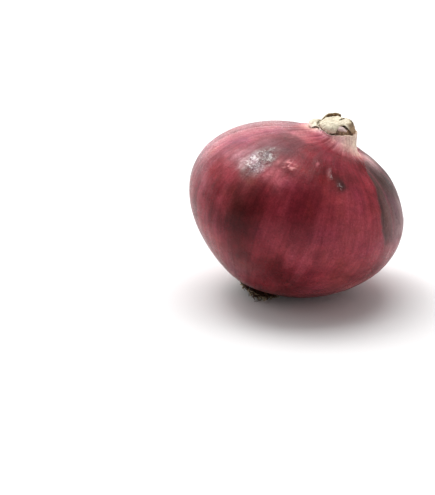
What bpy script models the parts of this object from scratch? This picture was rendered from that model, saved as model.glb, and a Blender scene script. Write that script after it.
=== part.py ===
# A whole shallot bulb, resting on its side-bottom with the neck leaning to the right.
# Metres, +Z up. The origin is at the middle of the model's box in X and Y, on the surface that the bulb rests on.
# The bulb is turned about its own axis (root to neck), pulled gently out of round, leaned over, and cut flat
# where it rests. The dry leaf ends of the neck, the root plate and the roots are separate pieces.

import math

import bmesh
import bpy
from mathutils import Matrix, Vector

# ---------------------------------------------------------------- driving dimensions (metres, degrees)
BULB_RADIUS = 0.0245           # about 49 mm across the widest
BULB_HALF_HEIGHT = 0.0192      # half of the height along the bulb's own axis, without the neck
BULB_LEAN = 22.5               # the axis leans this far towards +X
EGG = -0.045                   # how much fuller the root half is than the neck half
SQUARE = 0.018                 # how much the shoulders are filled out
SIDE_SWELL = 0.035             # the neck-side swell on the low flank
SIDE_BELLY = 0.010
OVAL = 0.010                   # wider in the leaning direction
BULB_TURNS = 64                # steps round the bulb
BULB_ROWS = 36                 # rows from root to shoulder

REST_CUT = 0.0006              # the flat spot is this much above the lowest point of the uncut skin
GAP = 0.0003                   # clearance between neighbouring pieces

SHOULDER_RADIUS = 0.0082       # the shoulder starts to rise into the neck here
NECK_RADIUS = 0.0043
NECK_TOP = 0.0225              # height of the neck's end along the bulb's axis
NECK_CENTRE_X = 0.0027         # the neck's offset from the axis at its foot
NECK_FOOT = 0.01947            # height of the neck's foot along the axis
NECK_BEND = -0.45              # the neck turns upright: sideways per unit of height
SHEATH_TOP = 0.02135           # the outer skin of the neck ends here, below the dry stub inside it
STUB_RADIUS = 0.0030           # the dry stub of inner leaves that stands out of the sheath

PLATE_RADIUS = 0.0053
PLATE_THICKNESS = 0.0008
DISH_RADIUS = PLATE_RADIUS + GAP
DISH_DEPTH = PLATE_THICKNESS + GAP

LEAF_THICKNESS = 0.00034
ROOT_RADIUS = 0.00034
ROOT_COUNT = 22

NAME = "shallot"

# ---------------------------------------------------------------- scene and collections
for old in list(bpy.data.objects):
    bpy.data.objects.remove(old, do_unlink=True)

parts = bpy.data.collections.new(NAME)
cutters = bpy.data.collections.new(NAME + "_cutters")
for group in (parts, cutters):
    bpy.context.scene.collection.children.link(group)


def material(name, colour, roughness, metallic=0.0, coat=0.0):
    mat = bpy.data.materials.new(name)
    mat.use_nodes = True
    shader = mat.node_tree.nodes["Principled BSDF"]
    shader.inputs["Base Color"].default_value = (*colour, 1.0)
    shader.inputs["Roughness"].default_value = roughness
    shader.inputs["Metallic"].default_value = metallic
    shader.inputs["Coat Weight"].default_value = coat
    return mat


def add_object(name, mesh, group=parts, parent=None, mat=None):
    obj = bpy.data.objects.new(name, mesh)
    group.objects.link(obj)
    obj.parent = parent
    if mat is not None:
        mesh.materials.clear()
        mesh.materials.append(mat)
    return obj


def evaluated_mesh(obj):
    """The object's mesh as its modifiers leave it, with doubled points welded."""
    bpy.context.view_layer.update()
    graph = bpy.context.evaluated_depsgraph_get()
    mesh = bpy.data.meshes.new_from_object(obj.evaluated_get(graph))
    work = bmesh.new()
    work.from_mesh(mesh)
    bmesh.ops.remove_doubles(work, verts=work.verts, dist=0.000002)
    work.to_mesh(mesh)
    work.free()
    return mesh


def profile_object(name, points):
    """An open line of points in the XZ plane, to be turned about Z."""
    mesh = bpy.data.meshes.new(name)
    mesh.from_pydata([(r, 0.0, z) for r, z in points], [(i, i + 1) for i in range(len(points) - 1)], [])
    return add_object(name, mesh)


def turned(name, points, steps, angle=math.tau):
    """The mesh of a profile turned about Z."""
    obj = profile_object(name, points)
    screw = obj.modifiers.new("turn", "SCREW")
    screw.axis = "Z"
    screw.angle = angle
    screw.steps = steps
    screw.render_steps = steps
    screw.use_merge_vertices = abs(angle - math.tau) < 1e-6
    screw.merge_threshold = 0.00001
    screw.use_normal_calculate = False
    mesh = evaluated_mesh(obj)
    bpy.data.objects.remove(obj, do_unlink=True)
    return mesh


def smooth(mesh, angle=50.0):
    mesh.shade_smooth()
    mesh.set_sharp_from_angle(angle=math.radians(angle))


def ease(low, high, value):
    t = min(max((value - low) / (high - low), 0.0), 1.0)
    return t * t * (3.0 - 2.0 * t)


# ---------------------------------------------------------------- the bulb's form
def girth_on_axis(u):
    """How far the outline stands from a plain ellipse at height u (-1 root, +1 neck)."""
    return 1.0 + 2.0 * EGG * (u ** 3 - u) + 4.0 * SQUARE * (u ** 4 - u ** 2)


def lopsided(x, y, z):
    """Moves a point of the evenly turned bulb to where the grown bulb's skin is."""
    reach = math.hypot(x, y)
    u = min(max(z / BULB_HALF_HEIGHT, -1.0), 1.0)
    side = math.sqrt(max(1.0 - u * u, 0.0))
    turn = math.atan2(y, x)
    swell = SIDE_SWELL * side * u * math.cos(turn)
    swell += SIDE_BELLY * side ** 2 * (5.0 * u * u - 1.0) * 0.5 * math.cos(turn)
    swell += OVAL * side ** 2 * math.cos(2.0 * turn)
    fade = ease(0.0, 0.010, reach)                      # nothing moves on the axis
    scale = 1.0 + swell * fade
    x, y = x * scale, y * scale
    z = z * (1.0 + swell * fade * (1.0 - ease(0.0175, 0.0187, z)))
    # the neck stands off the axis and turns upright
    centre = ease(0.0168, 0.0202, z) * (NECK_CENTRE_X + NECK_BEND * (z - NECK_FOOT))
    upright = math.radians(BULB_LEAN) * ease(0.0199, 0.0219, z)
    return centre + x * math.cos(upright), y, z + x * math.sin(upright)


def bulb_profile():
    """Points from the neck's end down the outer side to the root dish, (radius, height)."""
    body = []
    for i in range(BULB_ROWS + 1):
        psi = math.pi * i / BULB_ROWS * (1.0 - 0.0)
        u = -math.cos(psi)
        s = girth_on_axis(u)
        body.append((BULB_RADIUS * math.sin(psi) * s, BULB_HALF_HEIGHT * u * s))
    body = [p for p in body if p[1] < 0 or p[0] > SHOULDER_RADIUS]
    start = body[-1]
    before = body[-2]
    slope = Vector((start[0] - before[0], start[1] - before[1])).normalized()
    # the skin sweeps up from the shoulder into the neck
    foot = (NECK_RADIUS, NECK_FOOT + 0.0012)
    reach = 0.0026
    sweep = []
    for i in range(1, 9):
        t = i / 8
        p0, p3 = Vector(start), Vector(foot)
        p1 = p0 + slope * reach
        p2 = p3 - Vector((0.0, 1.0)) * reach * 0.55
        q = p0 * (1 - t) ** 3 + p1 * 3 * t * (1 - t) ** 2 + p2 * 3 * t * t * (1 - t) + p3 * t ** 3
        sweep.append((q.x, q.y))
    # the outer skin of the neck ends in a rim, with a groove inside it, and the stub of inner leaves in the middle
    top = [(NECK_RADIUS, SHEATH_TOP - 0.00012), (NECK_RADIUS - 0.00018, SHEATH_TOP), (NECK_RADIUS - 0.00045, SHEATH_TOP - 0.00005)]
    top += [(NECK_RADIUS - 0.00075, SHEATH_TOP - 0.0004), (STUB_RADIUS + 0.00025, SHEATH_TOP - 0.0004), (STUB_RADIUS, SHEATH_TOP - 0.00005)]
    top += [(STUB_RADIUS, NECK_TOP - 0.0004), (STUB_RADIUS - 0.0004, NECK_TOP), (STUB_RADIUS * 0.5, NECK_TOP + 0.0001), (0.0, NECK_TOP + 0.0001)]
    line = body + sweep + top
    # the root dish
    outer = [p for p in line if not (p[1] < 0 and p[0] < DISH_RADIUS + 0.0003)]
    rim = outer[0]
    rim_z = skin_height(DISH_RADIUS)
    floor_z = skin_height(0.0) + DISH_DEPTH
    dish = [(0.0, floor_z), (DISH_RADIUS * 0.55, floor_z + 0.00005), (DISH_RADIUS * 0.97, rim_z + DISH_DEPTH), (DISH_RADIUS, rim_z)]
    line = dish + outer
    return list(reversed(line))


def skin_height(radius):
    """Height of the uncut skin at this radius near the root."""
    low, high = 0.0, math.pi / 2
    for _ in range(40):
        mid = 0.5 * (low + high)
        u = -math.cos(mid)
        if BULB_RADIUS * math.sin(mid) * girth_on_axis(u) < radius:
            low = mid
        else:
            high = mid
    u = -math.cos(low)
    return BULB_HALF_HEIGHT * u * girth_on_axis(u)


def lean(point):
    """Bulb frame to the upright frame (before the model is centred)."""
    return Matrix.Rotation(math.radians(BULB_LEAN), 4, "Y") @ Vector(point)


def reshape(mesh, move):
    for v in mesh.vertices:
        v.co = Vector(move(*v.co))
    mesh.update()


# ---------------------------------------------------------------- materials
skin = material("bulb_skin", (0.16, 0.022, 0.032), 0.34, coat=0.3)
dry_ivory = material("dry_leaf_ivory", (0.78, 0.68, 0.50), 0.75)
dry_pale = material("dry_leaf_pale", (0.80, 0.72, 0.56), 0.75)
dry_brown = material("dry_leaf_brown_edge", (0.42, 0.28, 0.17), 0.8)
dry_tan = material("dry_leaf_tan", (0.62, 0.50, 0.36), 0.78)
dry_pink = material("dry_leaf_pink", (0.70, 0.48, 0.42), 0.7)
plate_wood = material("root_plate_wood", (0.11, 0.065, 0.042), 0.9)
root_dry = material("dry_roots", (0.20, 0.13, 0.075), 0.85)

# ---------------------------------------------------------------- frames
# whole: the model's own frame; leaning: the bulb's axis; upright_neck: the foot of the neck, standing upright
whole = bpy.data.objects.new("whole", None)
leaning = bpy.data.objects.new("leaning", None)
upright_neck = bpy.data.objects.new("upright_neck", None)
for empty in (whole, leaning, upright_neck):
    parts.objects.link(empty)
leaning.parent = whole
leaning.rotation_euler = (0.0, math.radians(BULB_LEAN), 0.0)
upright_neck.parent = whole
neck_end_x = NECK_CENTRE_X + NECK_BEND * (NECK_TOP - NECK_FOOT)
upright_neck.location = lean((neck_end_x, 0.0, NECK_TOP))

# ---------------------------------------------------------------- bulb
bulb_mesh = turned("bulb_profile", bulb_profile(), BULB_TURNS)
reshape(bulb_mesh, lopsided)
smooth(bulb_mesh)
bulb = add_object("bulb", bulb_mesh, parent=leaning, mat=skin)

lowest = min(lean(v.co).z for v in bulb_mesh.vertices)
rest_level = lowest + REST_CUT

bpy.ops.mesh.primitive_cube_add(size=1.0, location=(0.0, 0.0, 0.0))
ground = bpy.context.object
ground.name = "rest_cutter"
ground.data.name = "rest_cutter"
for group in list(ground.users_collection):
    group.objects.unlink(ground)
cutters.objects.link(ground)
for v in ground.data.vertices:
    v.co = Vector((v.co.x * 0.08, v.co.y * 0.08, (v.co.z - 0.5) * 0.01))
ground.parent = whole
ground.location = (0.0, 0.0, rest_level)
ground.hide_render = True
ground.display_type = "WIRE"

cut = bulb.modifiers.new("rest_spot", "BOOLEAN")
cut.operation = "DIFFERENCE"
cut.solver = "EXACT"
cut.object = ground

# ---------------------------------------------------------------- root plate
plate_line = []
for i in range(7):
    r = PLATE_RADIUS * math.sin(math.pi / 2 * i / 6)
    plate_line.append((r, skin_height(r)))
inner_edge = (PLATE_RADIUS, skin_height(PLATE_RADIUS) + PLATE_THICKNESS * 0.85)
plate_line = plate_line + [inner_edge, (PLATE_RADIUS * 0.55, skin_height(0.0) + PLATE_THICKNESS), (0.0, skin_height(0.0) + PLATE_THICKNESS)]
plate_mesh = turned("plate_profile", list(reversed(plate_line)), 32)
smooth(plate_mesh)
root_plate = add_object("root_plate", plate_mesh, parent=leaning, mat=plate_wood)
cut = root_plate.modifiers.new("rest_spot", "BOOLEAN")
cut.operation = "DIFFERENCE"
cut.solver = "EXACT"
cut.object = ground

# ---------------------------------------------------------------- roots
def root_curve(index):
    """One dry root stub, from the plate's face outwards and down."""
    turn = math.radians(98.0 + 212.0 * index / (ROOT_COUNT - 1))
    base_r = PLATE_RADIUS * (0.86 if index % 2 else 0.74)
    near_ground = max(0.0, math.cos(turn - math.radians(350.0)))          # the low side of the tilted plate
    length = (0.0010 + 0.0009 * abs(math.sin(2.3 * index + 0.7))) * (1.0 - 0.35 * near_ground)
    start = Vector((base_r * math.cos(turn), base_r * math.sin(turn), skin_height(base_r) - GAP - 0.00045))
    out = Vector((math.cos(turn), math.sin(turn), 0.0))
    points = []
    for i in range(4):
        t = i / 3
        drop = 0.62 * (1.0 - 0.8 * near_ground)
        p = start + Vector((0.0, 0.0, -length * drop * t)) + out * (length * 0.95 * t * t + 0.0004 * t)
        p += Vector((0.0, 0.0, 0.0001)) * math.sin(3.0 * t + index)
        points.append(p)
    return points


def tube_mesh(name, points, radii):
    curve = bpy.data.curves.new(name, "CURVE")
    curve.dimensions = "3D"
    curve.bevel_depth = 1.0
    curve.bevel_resolution = 1
    curve.use_fill_caps = True
    spline = curve.splines.new("POLY")
    spline.points.add(len(points) - 1)
    for point, p, radius in zip(spline.points, points, radii):
        point.co = (*p, 1.0)
        point.radius = radius
    obj = add_object(name, curve)
    mesh = evaluated_mesh(obj)
    bpy.data.objects.remove(obj, do_unlink=True)
    work = bmesh.new()
    work.from_mesh(mesh)
    bmesh.ops.recalc_face_normals(work, faces=work.faces)
    work.to_mesh(mesh)
    work.free()
    return mesh


# the crust of old root feet that the stubs stand on
crust_line = []
for r, dz in ((PLATE_RADIUS * 0.56, 0.0), (PLATE_RADIUS * 0.76, 0.0), (PLATE_RADIUS * 0.94, 0.0)):
    crust_line.append((r, skin_height(r) - GAP + dz))
for r, dz in ((PLATE_RADIUS * 0.93, -0.00055), (PLATE_RADIUS * 0.76, -0.00070), (PLATE_RADIUS * 0.58, -0.00060)):
    crust_line.append((r, skin_height(r) - GAP + dz))
crust_line.append(crust_line[0])
crust_mesh = turned("crust_profile", crust_line, 30, math.radians(232.0))
work = bmesh.new()
work.from_mesh(crust_mesh)
bmesh.ops.remove_doubles(work, verts=work.verts, dist=0.00001)
bmesh.ops.holes_fill(work, edges=work.edges, sides=12)
bmesh.ops.recalc_face_normals(work, faces=work.faces)
bmesh.ops.rotate(work, verts=work.verts, cent=(0, 0, 0), matrix=Matrix.Rotation(math.radians(86.0), 3, "Z"))
work.to_mesh(crust_mesh)
work.free()
root_tuft = add_object("root_tuft", crust_mesh, parent=leaning, mat=root_dry)
for k in range(ROOT_COUNT):
    pts = root_curve(k)
    stub_mesh = tube_mesh("root_stub", pts, [ROOT_RADIUS * f for f in (1.25, 1.05, 0.9, 0.55)])
    stub = add_object("root_stub_cutter_%02d" % k, stub_mesh, group=cutters, parent=leaning)
    stub.hide_render = True
    stub.display_type = "WIRE"
    join = root_tuft.modifiers.new("root_%02d" % k, "BOOLEAN")
    join.operation = "UNION"
    join.solver = "EXACT"
    join.object = stub
cut = root_tuft.modifiers.new("rest_spot", "BOOLEAN")
cut.operation = "DIFFERENCE"
cut.solver = "EXACT"
cut.object = ground

# ---------------------------------------------------------------- neck
def leaf_end(name, profile, start_deg, sweep_deg, mat, ripple=0.00006, waves=3.0, steps=None, thickness=LEAF_THICKNESS, form=None):
    """A dry leaf end: a folded profile swept part of the way round the neck, as a thin closed sheet."""
    steps = steps or max(4, round(sweep_deg / 9))
    mesh = turned(name + "_profile", [(r, z) for r, z in profile], steps, math.radians(sweep_deg))

    def move(x, y, z):
        turn = math.atan2(y, x) + math.radians(start_deg)
        r = math.hypot(x, y)
        if form is not None:
            r, z = form(turn, r, z)
        wave = ripple * math.sin(waves * turn * 2.0 + 900.0 * z)
        r += wave
        return r * math.cos(turn), r * math.sin(turn), z + wave * 0.6

    reshape(mesh, move)
    obj = add_object(name, mesh, parent=upright_neck, mat=mat)
    sheet = obj.modifiers.new("sheet", "SOLIDIFY")
    sheet.thickness = thickness
    sheet.offset = 0.0
    sheet.use_even_offset = True
    smooth(mesh)
    return obj


def fold_line(points, count):
    """A smooth line through a few points (Catmull-Rom), so that a fold is rounded."""
    pts = [Vector(p) for p in points]
    pts = [pts[0] * 2 - pts[1]] + pts + [pts[-1] * 2 - pts[-2]]
    out = []
    spans = len(pts) - 3
    for i in range(count):
        s = i / (count - 1) * spans
        k = min(int(s), spans - 1)
        t = s - k
        a, b, c, d = pts[k:k + 4]
        q = 0.5 * ((2 * b) + (c - a) * t + (2 * a - 5 * b + 4 * c - d) * t * t + (3 * b - a - 3 * c + d) * t ** 3)
        out.append((q.x, q.y))
    return out


def cap_form(turn, r, z):
    """The front cap is drawn in at the back and hangs over the stub only at the front."""
    hang = ease(math.radians(196.0), math.radians(226.0), turn)
    back = 1.0 - ease(math.radians(150.0), math.radians(178.0), turn)
    low_edge = 0.0008
    if z < low_edge:
        z = low_edge - (low_edge - z) * (0.45 + 0.55 * hang)
    return r * (0.97 + 0.03 * hang - 0.14 * back), z


# heights are measured from the neck's end
leaf_end("neck_fold_front", fold_line([(0.0005, 0.00135), (0.0020, 0.00145), (0.0033, 0.0011), (0.0040, 0.0003), (0.00405, -0.0006)], 9), 128.0, 140.0, dry_ivory, form=cap_form)
leaf_end("neck_fold_back", fold_line([(0.0040, -0.00085), (0.00405, 0.0003), (0.0040, 0.0010), (0.0036, 0.0015)], 8), 88.0, 66.0, dry_pale)
leaf_end("neck_fold_right", fold_line([(0.0009, 0.00095), (0.0022, 0.00105), (0.0031, 0.00075), (0.0035, 0.0), (0.0035, -0.0008)], 9), 303.0, 116.0, dry_brown)
leaf_end("neck_flap_left", fold_line([(0.00455, 0.00035), (0.0052, 0.0007), (0.0060, 0.0004), (0.0065, -0.0001)], 7), 148.0, 30.0, dry_tan)

roll_points = []
for i in range(9):
    t = i / 8
    turn = math.radians(273.0 + 25.0 * t)
    r = 0.0036 + 0.0002 * math.sin(math.pi * t)
    roll_points.append(Vector((r * math.cos(turn), r * math.sin(turn), 0.0001 + 0.0002 * math.sin(math.pi * t))))
roll_mesh = tube_mesh("neck_roll_line", roll_points, [0.00042 * f for f in (0.55, 0.8, 0.95, 1.0, 1.0, 1.0, 0.95, 0.85, 0.6)])
smooth(roll_mesh)
neck_roll = add_object("neck_roll", roll_mesh, parent=upright_neck, mat=dry_pink)

# ---------------------------------------------------------------- the model's origin: middle of its box, on the rest level
bpy.context.view_layer.update()
graph = bpy.context.evaluated_depsgraph_get()
low = Vector((1e9, 1e9, 1e9))
high = -low
for obj in parts.objects:
    if obj.type != "MESH":
        continue
    shape = obj.evaluated_get(graph)
    for v in shape.data.vertices:
        p = shape.matrix_world @ v.co
        for k in range(3):
            low[k] = min(low[k], p[k])
            high[k] = max(high[k], p[k])
whole.location = (-(low.x + high.x) / 2, -(low.y + high.y) / 2, -rest_level)
bpy.context.view_layer.update()
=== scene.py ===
import math

import bmesh
import bpy
import numpy as np
from mathutils import Matrix, Vector


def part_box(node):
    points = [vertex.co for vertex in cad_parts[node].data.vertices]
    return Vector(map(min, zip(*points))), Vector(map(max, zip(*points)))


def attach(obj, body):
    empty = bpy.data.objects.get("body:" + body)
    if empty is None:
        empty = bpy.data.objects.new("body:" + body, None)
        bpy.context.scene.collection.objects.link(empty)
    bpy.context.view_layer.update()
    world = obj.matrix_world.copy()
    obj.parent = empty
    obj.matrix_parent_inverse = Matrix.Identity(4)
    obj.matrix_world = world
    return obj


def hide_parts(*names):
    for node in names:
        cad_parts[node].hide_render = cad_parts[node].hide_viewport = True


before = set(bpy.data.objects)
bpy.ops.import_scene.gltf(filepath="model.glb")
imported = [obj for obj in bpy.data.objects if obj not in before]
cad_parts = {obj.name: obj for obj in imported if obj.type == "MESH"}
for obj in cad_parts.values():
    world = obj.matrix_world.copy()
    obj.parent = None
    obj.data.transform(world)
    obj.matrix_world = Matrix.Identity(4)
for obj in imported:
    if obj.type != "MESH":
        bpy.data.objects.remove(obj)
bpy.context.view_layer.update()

MM = 0.001
KEY, TOP, WORLD, BACK = 0.9, 3.65, 0.59, 1.4      # soft key and top light in watts, the white surroundings, and how much brighter the back wall is

# ------------------------------------------------------------------ the bulb's form, as in the CAD (millimetres)
A, C = 24.5, 19.2
LEAN = math.radians(22.5)
EGG, SQUARE, SWELL, BELLY, OVAL = -0.045, 0.018, 0.035, 0.010, 0.010
REST_CUT = 0.6
SHOULDER_R, NECK_R, NECK_TOP = 8.2, 4.3, 22.5
NECK_CX, NECK_FOOT, NECK_BEND = 2.7, 19.47, -0.45
SHEATH_TOP = 21.35                # the outer skin of the neck ends here, below the dry stub inside it
PLATE_R, PLATE_T, GAP = 5.3, 0.8, 0.3

lo_bulb, hi_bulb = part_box("bulb")


def ease(low, high, v):
    t = np.clip((v - low) / (high - low), 0.0, 1.0)
    return t * t * (3.0 - 2.0 * t)


def girth(u):
    return 1.0 + 2.0 * EGG * (u ** 3 - u) + 4.0 * SQUARE * (u ** 4 - u ** 2)


def lopsided(x, y, z):
    reach = np.hypot(x, y)
    u = np.clip(z / C, -1.0, 1.0)
    side = np.sqrt(np.maximum(1.0 - u * u, 0.0))
    turn = np.arctan2(y, x)
    s = SWELL * side * u * np.cos(turn) + BELLY * side ** 2 * (5 * u * u - 1) * 0.5 * np.cos(turn) + OVAL * side ** 2 * np.cos(2 * turn)
    f = ease(0.0, 10.0, reach)
    x, y = x * (1 + s * f), y * (1 + s * f)
    z = z * (1 + s * f * (1 - ease(17.5, 18.7, z)))
    centre = ease(16.8, 20.2, z) * (NECK_CX + NECK_BEND * (z - NECK_FOOT))
    up = LEAN * ease(19.9, 21.9, z)
    return centre + x * np.cos(up), y, z + x * np.sin(up)


def leaned(x, y, z):
    return x * math.cos(LEAN) + z * math.sin(LEAN), y, -x * math.sin(LEAN) + z * math.cos(LEAN)


def profile(n_body, n_sweep, n_wall):
    """(radius, height) from the root to the neck's end, up the outside."""
    psi = np.linspace(0, np.pi, n_body + 1)
    u = -np.cos(psi)
    s = girth(u)
    r, z = A * np.sin(psi) * s, C * u * s
    keep = (z < 0) | (r > SHOULDER_R)
    r, z = r[keep], z[keep]
    slope = np.array([r[-1] - r[-2], z[-1] - z[-2]])
    slope /= np.linalg.norm(slope)
    p0, p3 = np.array([r[-1], z[-1]]), np.array([NECK_R, NECK_FOOT + 1.2])
    p1 = p0 + slope * 2.6
    p2 = p3 - np.array([0.0, 1.0]) * 2.6 * 0.55
    t = np.linspace(0, 1, n_sweep + 1)[1:, None]
    sweep = p0 * (1 - t) ** 3 + p1 * 3 * t * (1 - t) ** 2 + p2 * 3 * t * t * (1 - t) + p3 * t ** 3
    w = np.linspace(0, 1, n_wall + 1)[1:, None]
    wall = p3 + (np.array([NECK_R, SHEATH_TOP - 0.12]) - p3) * w
    return np.concatenate([np.stack([r, z], 1), sweep, wall])


# where the body's own frame sits in the row frame
_line = profile(360, 30, 8)
_t = np.linspace(0, 2 * np.pi, 512, endpoint=False)[None]
_x, _y, _z = leaned(*lopsided(_line[:, :1] * np.cos(_t), _line[:, :1] * np.sin(_t), _line[:, 1:] + 0 * _t))
SHIFT = np.array([(lo_bulb.x + hi_bulb.x) / 2 / MM - (_x.min() + _x.max()) / 2, 0.0, -(_z.min() + REST_CUT)])


# ------------------------------------------------------------------ noise
def _hash(ix, iy, iz, seed):
    h = (ix.astype(np.int64) * 374761393 + iy.astype(np.int64) * 668265263 + iz.astype(np.int64) * 1274126177 + seed * 974634777) & 0xFFFFFFFF
    h = ((h ^ (h >> 15)) * 2246822519) & 0xFFFFFFFF
    h = ((h ^ (h >> 13)) * 3266489917) & 0xFFFFFFFF
    h = h ^ (h >> 16)
    return h / 2147483647.5 - 1.0


def noise3(x, y, z, seed=0):
    """Smooth value noise, about -1 to 1."""
    x, y, z = np.broadcast_arrays(np.asarray(x, float), np.asarray(y, float), np.asarray(z, float))
    fx, fy, fz = np.floor(x), np.floor(y), np.floor(z)
    tx, ty, tz = x - fx, y - fy, z - fz
    tx, ty, tz = (t * t * t * (t * (t * 6 - 15) + 10) for t in (tx, ty, tz))
    out = 0.0
    for dx in (0, 1):
        wx = tx if dx else 1 - tx
        for dy in (0, 1):
            wy = ty if dy else 1 - ty
            for dz in (0, 1):
                wz = tz if dz else 1 - tz
                out = out + wx * wy * wz * _hash(fx + dx, fy + dy, fz + dz, seed)
    return out


def fbm(x, y, z, octaves=4, seed=0, gain=0.5):
    total, amp, norm = 0.0, 1.0, 0.0
    for k in range(octaves):
        total = total + amp * noise3(x * 2 ** k, y * 2 ** k, z * 2 ** k, seed + 17 * k)
        norm += amp
        amp *= gain
    return total / norm


def wrapped(deg):
    """Angle in degrees, -180 to 180."""
    return (deg + 180.0) % 360.0 - 180.0


# ------------------------------------------------------------------ mesh helpers
def grid_object(name, P, close_u=False, flip=False, fans=False):
    """A mesh object from a grid of points P[v, u, 3] in metres; fans closes both ends of a tube."""
    nv, nu = P.shape[:2]
    idx = np.arange(nv * nu).reshape(nv, nu)
    a, b = idx[:-1], idx[1:]
    if close_u:
        q = np.stack([a, np.roll(a, -1, 1), np.roll(b, -1, 1), b], -1).reshape(-1, 4)
    else:
        q = np.stack([a[:, :-1], a[:, 1:], b[:, 1:], b[:, :-1]], -1).reshape(-1, 4)
    points = P.reshape(-1, 3)
    tris = np.zeros((0, 3), int)
    if fans:
        points = np.concatenate([points, P[:1].mean(1), P[-1:].mean(1)])
        first, last = idx[0], idx[-1]
        tris = np.concatenate([np.stack([np.roll(first, -1), first, np.full(nu, nv * nu)], -1), np.stack([last, np.roll(last, -1), np.full(nu, nv * nu + 1)], -1)])
    if flip:
        q, tris = q[:, ::-1], tris[:, ::-1]
    return faces_object(name, points, q, tris)


def faces_object(name, points, quads, tris=None):
    mesh = bpy.data.meshes.new(name)
    mesh.vertices.add(len(points))
    mesh.vertices.foreach_set("co", points.astype(np.float32).ravel())
    tris = np.zeros((0, 3), int) if tris is None else tris
    loops = np.concatenate([quads.ravel(), tris.ravel()]).astype(np.int32)
    starts = np.concatenate([np.arange(len(quads)) * 4, quads.size + np.arange(len(tris)) * 3]).astype(np.int32)
    mesh.loops.add(len(loops))
    mesh.loops.foreach_set("vertex_index", loops)
    mesh.polygons.add(len(starts))
    mesh.polygons.foreach_set("loop_start", starts)
    mesh.polygons.foreach_set("use_smooth", np.ones(len(starts), bool))
    mesh.update(calc_edges=True)
    obj = bpy.data.objects.new(name, mesh)
    bpy.context.scene.collection.objects.link(obj)
    return obj


def set_vec(mesh, name, values):
    att = mesh.attributes.new(name, "FLOAT_VECTOR", "POINT")
    att.data.foreach_set("vector", np.asarray(values, np.float32).reshape(-1))


def set_colour(mesh, name, values):
    values = np.asarray(values, np.float32).reshape(-1, 3)
    att = mesh.attributes.new(name, "FLOAT_COLOR", "POINT")
    att.data.foreach_set("color", np.concatenate([values, np.ones((len(values), 1), np.float32)], 1).ravel())


def mix(a, b, w):
    """Mixes colours a and b (anything that broadcasts to [..., 3]) by weight w."""
    a, b = np.asarray(a, float), np.asarray(b, float)
    w = np.asarray(w, float)[..., None]
    return a * (1 - w) + b * w


# ------------------------------------------------------------------ node helpers
class Nodes:
    def __init__(self, name):
        self.mat = bpy.data.materials.new(name)
        self.mat.use_nodes = True
        self.tree = self.mat.node_tree
        self.shader = self.tree.nodes["Principled BSDF"]

    def node(self, kind, **settings):
        n = self.tree.nodes.new(kind)
        for key, value in settings.items():
            setattr(n, key, value)
        return n

    def link(self, a, b):
        self.tree.links.new(a, b)

    def attribute(self, name):
        n = self.node("ShaderNodeAttribute")
        n.attribute_name = name
        return n

    def scaled(self, vector, sx, sy, sz):
        n = self.node("ShaderNodeVectorMath", operation="MULTIPLY")
        self.link(vector, n.inputs[0])
        n.inputs[1].default_value = (sx, sy, sz)
        return n.outputs[0]

    def noise(self, vector, scale, detail=3.0, rough=0.55, distortion=0.0):
        n = self.node("ShaderNodeTexNoise")
        n.inputs["Scale"].default_value = scale
        n.inputs["Detail"].default_value = detail
        n.inputs["Roughness"].default_value = rough
        n.inputs["Distortion"].default_value = distortion
        self.link(vector, n.inputs["Vector"])
        return n.outputs["Fac"]

    def voronoi(self, vector, scale, feature="F1", randomness=1.0):
        n = self.node("ShaderNodeTexVoronoi", feature=feature)
        n.inputs["Scale"].default_value = scale
        n.inputs["Randomness"].default_value = randomness
        self.link(vector, n.inputs["Vector"])
        return n.outputs["Distance"]

    def remap(self, value, low, high, to_low=0.0, to_high=1.0, smooth=True):
        n = self.node("ShaderNodeMapRange", interpolation_type="SMOOTHSTEP" if smooth else "LINEAR")
        self.link(value, n.inputs["Value"])
        n.inputs["From Min"].default_value = low
        n.inputs["From Max"].default_value = high
        n.inputs["To Min"].default_value = to_low
        n.inputs["To Max"].default_value = to_high
        return n.outputs["Result"]

    def math(self, op, a, b=None):
        n = self.node("ShaderNodeMath", operation=op)
        for k, value in enumerate((a, b)):
            if value is None:
                continue
            if isinstance(value, (int, float)):
                n.inputs[k].default_value = value
            else:
                self.link(value, n.inputs[k])
        return n.outputs[0]

    def mix_colour(self, fac, a, b, blend="MIX"):
        n = self.node("ShaderNodeMix", data_type="RGBA", blend_type=blend)
        for key, value in (("Factor", fac), ("A", a), ("B", b)):
            socket = [i for i in n.inputs if i.name == key and (i.type == "RGBA" if key != "Factor" else i.type == "VALUE")][0]
            if isinstance(value, (int, float)):
                socket.default_value = value
            elif isinstance(value, tuple):
                socket.default_value = (*value, 1.0)
            else:
                self.link(value, socket)
        return [o for o in n.outputs if o.type == "RGBA"][0]

    def bump(self, height, strength, distance, normal=None):
        n = self.node("ShaderNodeBump")
        n.inputs["Strength"].default_value = strength
        n.inputs["Distance"].default_value = distance
        self.link(height, n.inputs["Height"])
        if normal is not None:
            self.link(normal, n.inputs["Normal"])
        return n.outputs["Normal"]


# ------------------------------------------------------------------ bulb skin: geometry
COLS = 372
N_BODY, N_SWEEP, N_WALL = 196, 26, 9

line = profile(N_BODY, N_SWEEP, N_WALL)
fine = profile(800, 60, 20)
arc_f = np.concatenate([[0], np.cumsum(np.hypot(*np.diff(fine, axis=0).T))])
TOTAL_ARC = arc_f[-1]
arc = np.concatenate([[0], np.cumsum(np.hypot(*np.diff(line, axis=0).T))])
arc = arc / (arc[-1] + NECK_TOP - SHEATH_TOP + 0.12)
keep = (line[:, 0] > PLATE_R + GAP) | (line[:, 1] > 0)
line, arc = line[keep], arc[keep]
theta = np.linspace(0, 2 * np.pi, COLS, endpoint=False)
TH = np.degrees(theta)[None, :] + 0 * arc[:, None]
TH = wrapped(TH)
SS = arc[:, None] + 0 * TH


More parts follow.
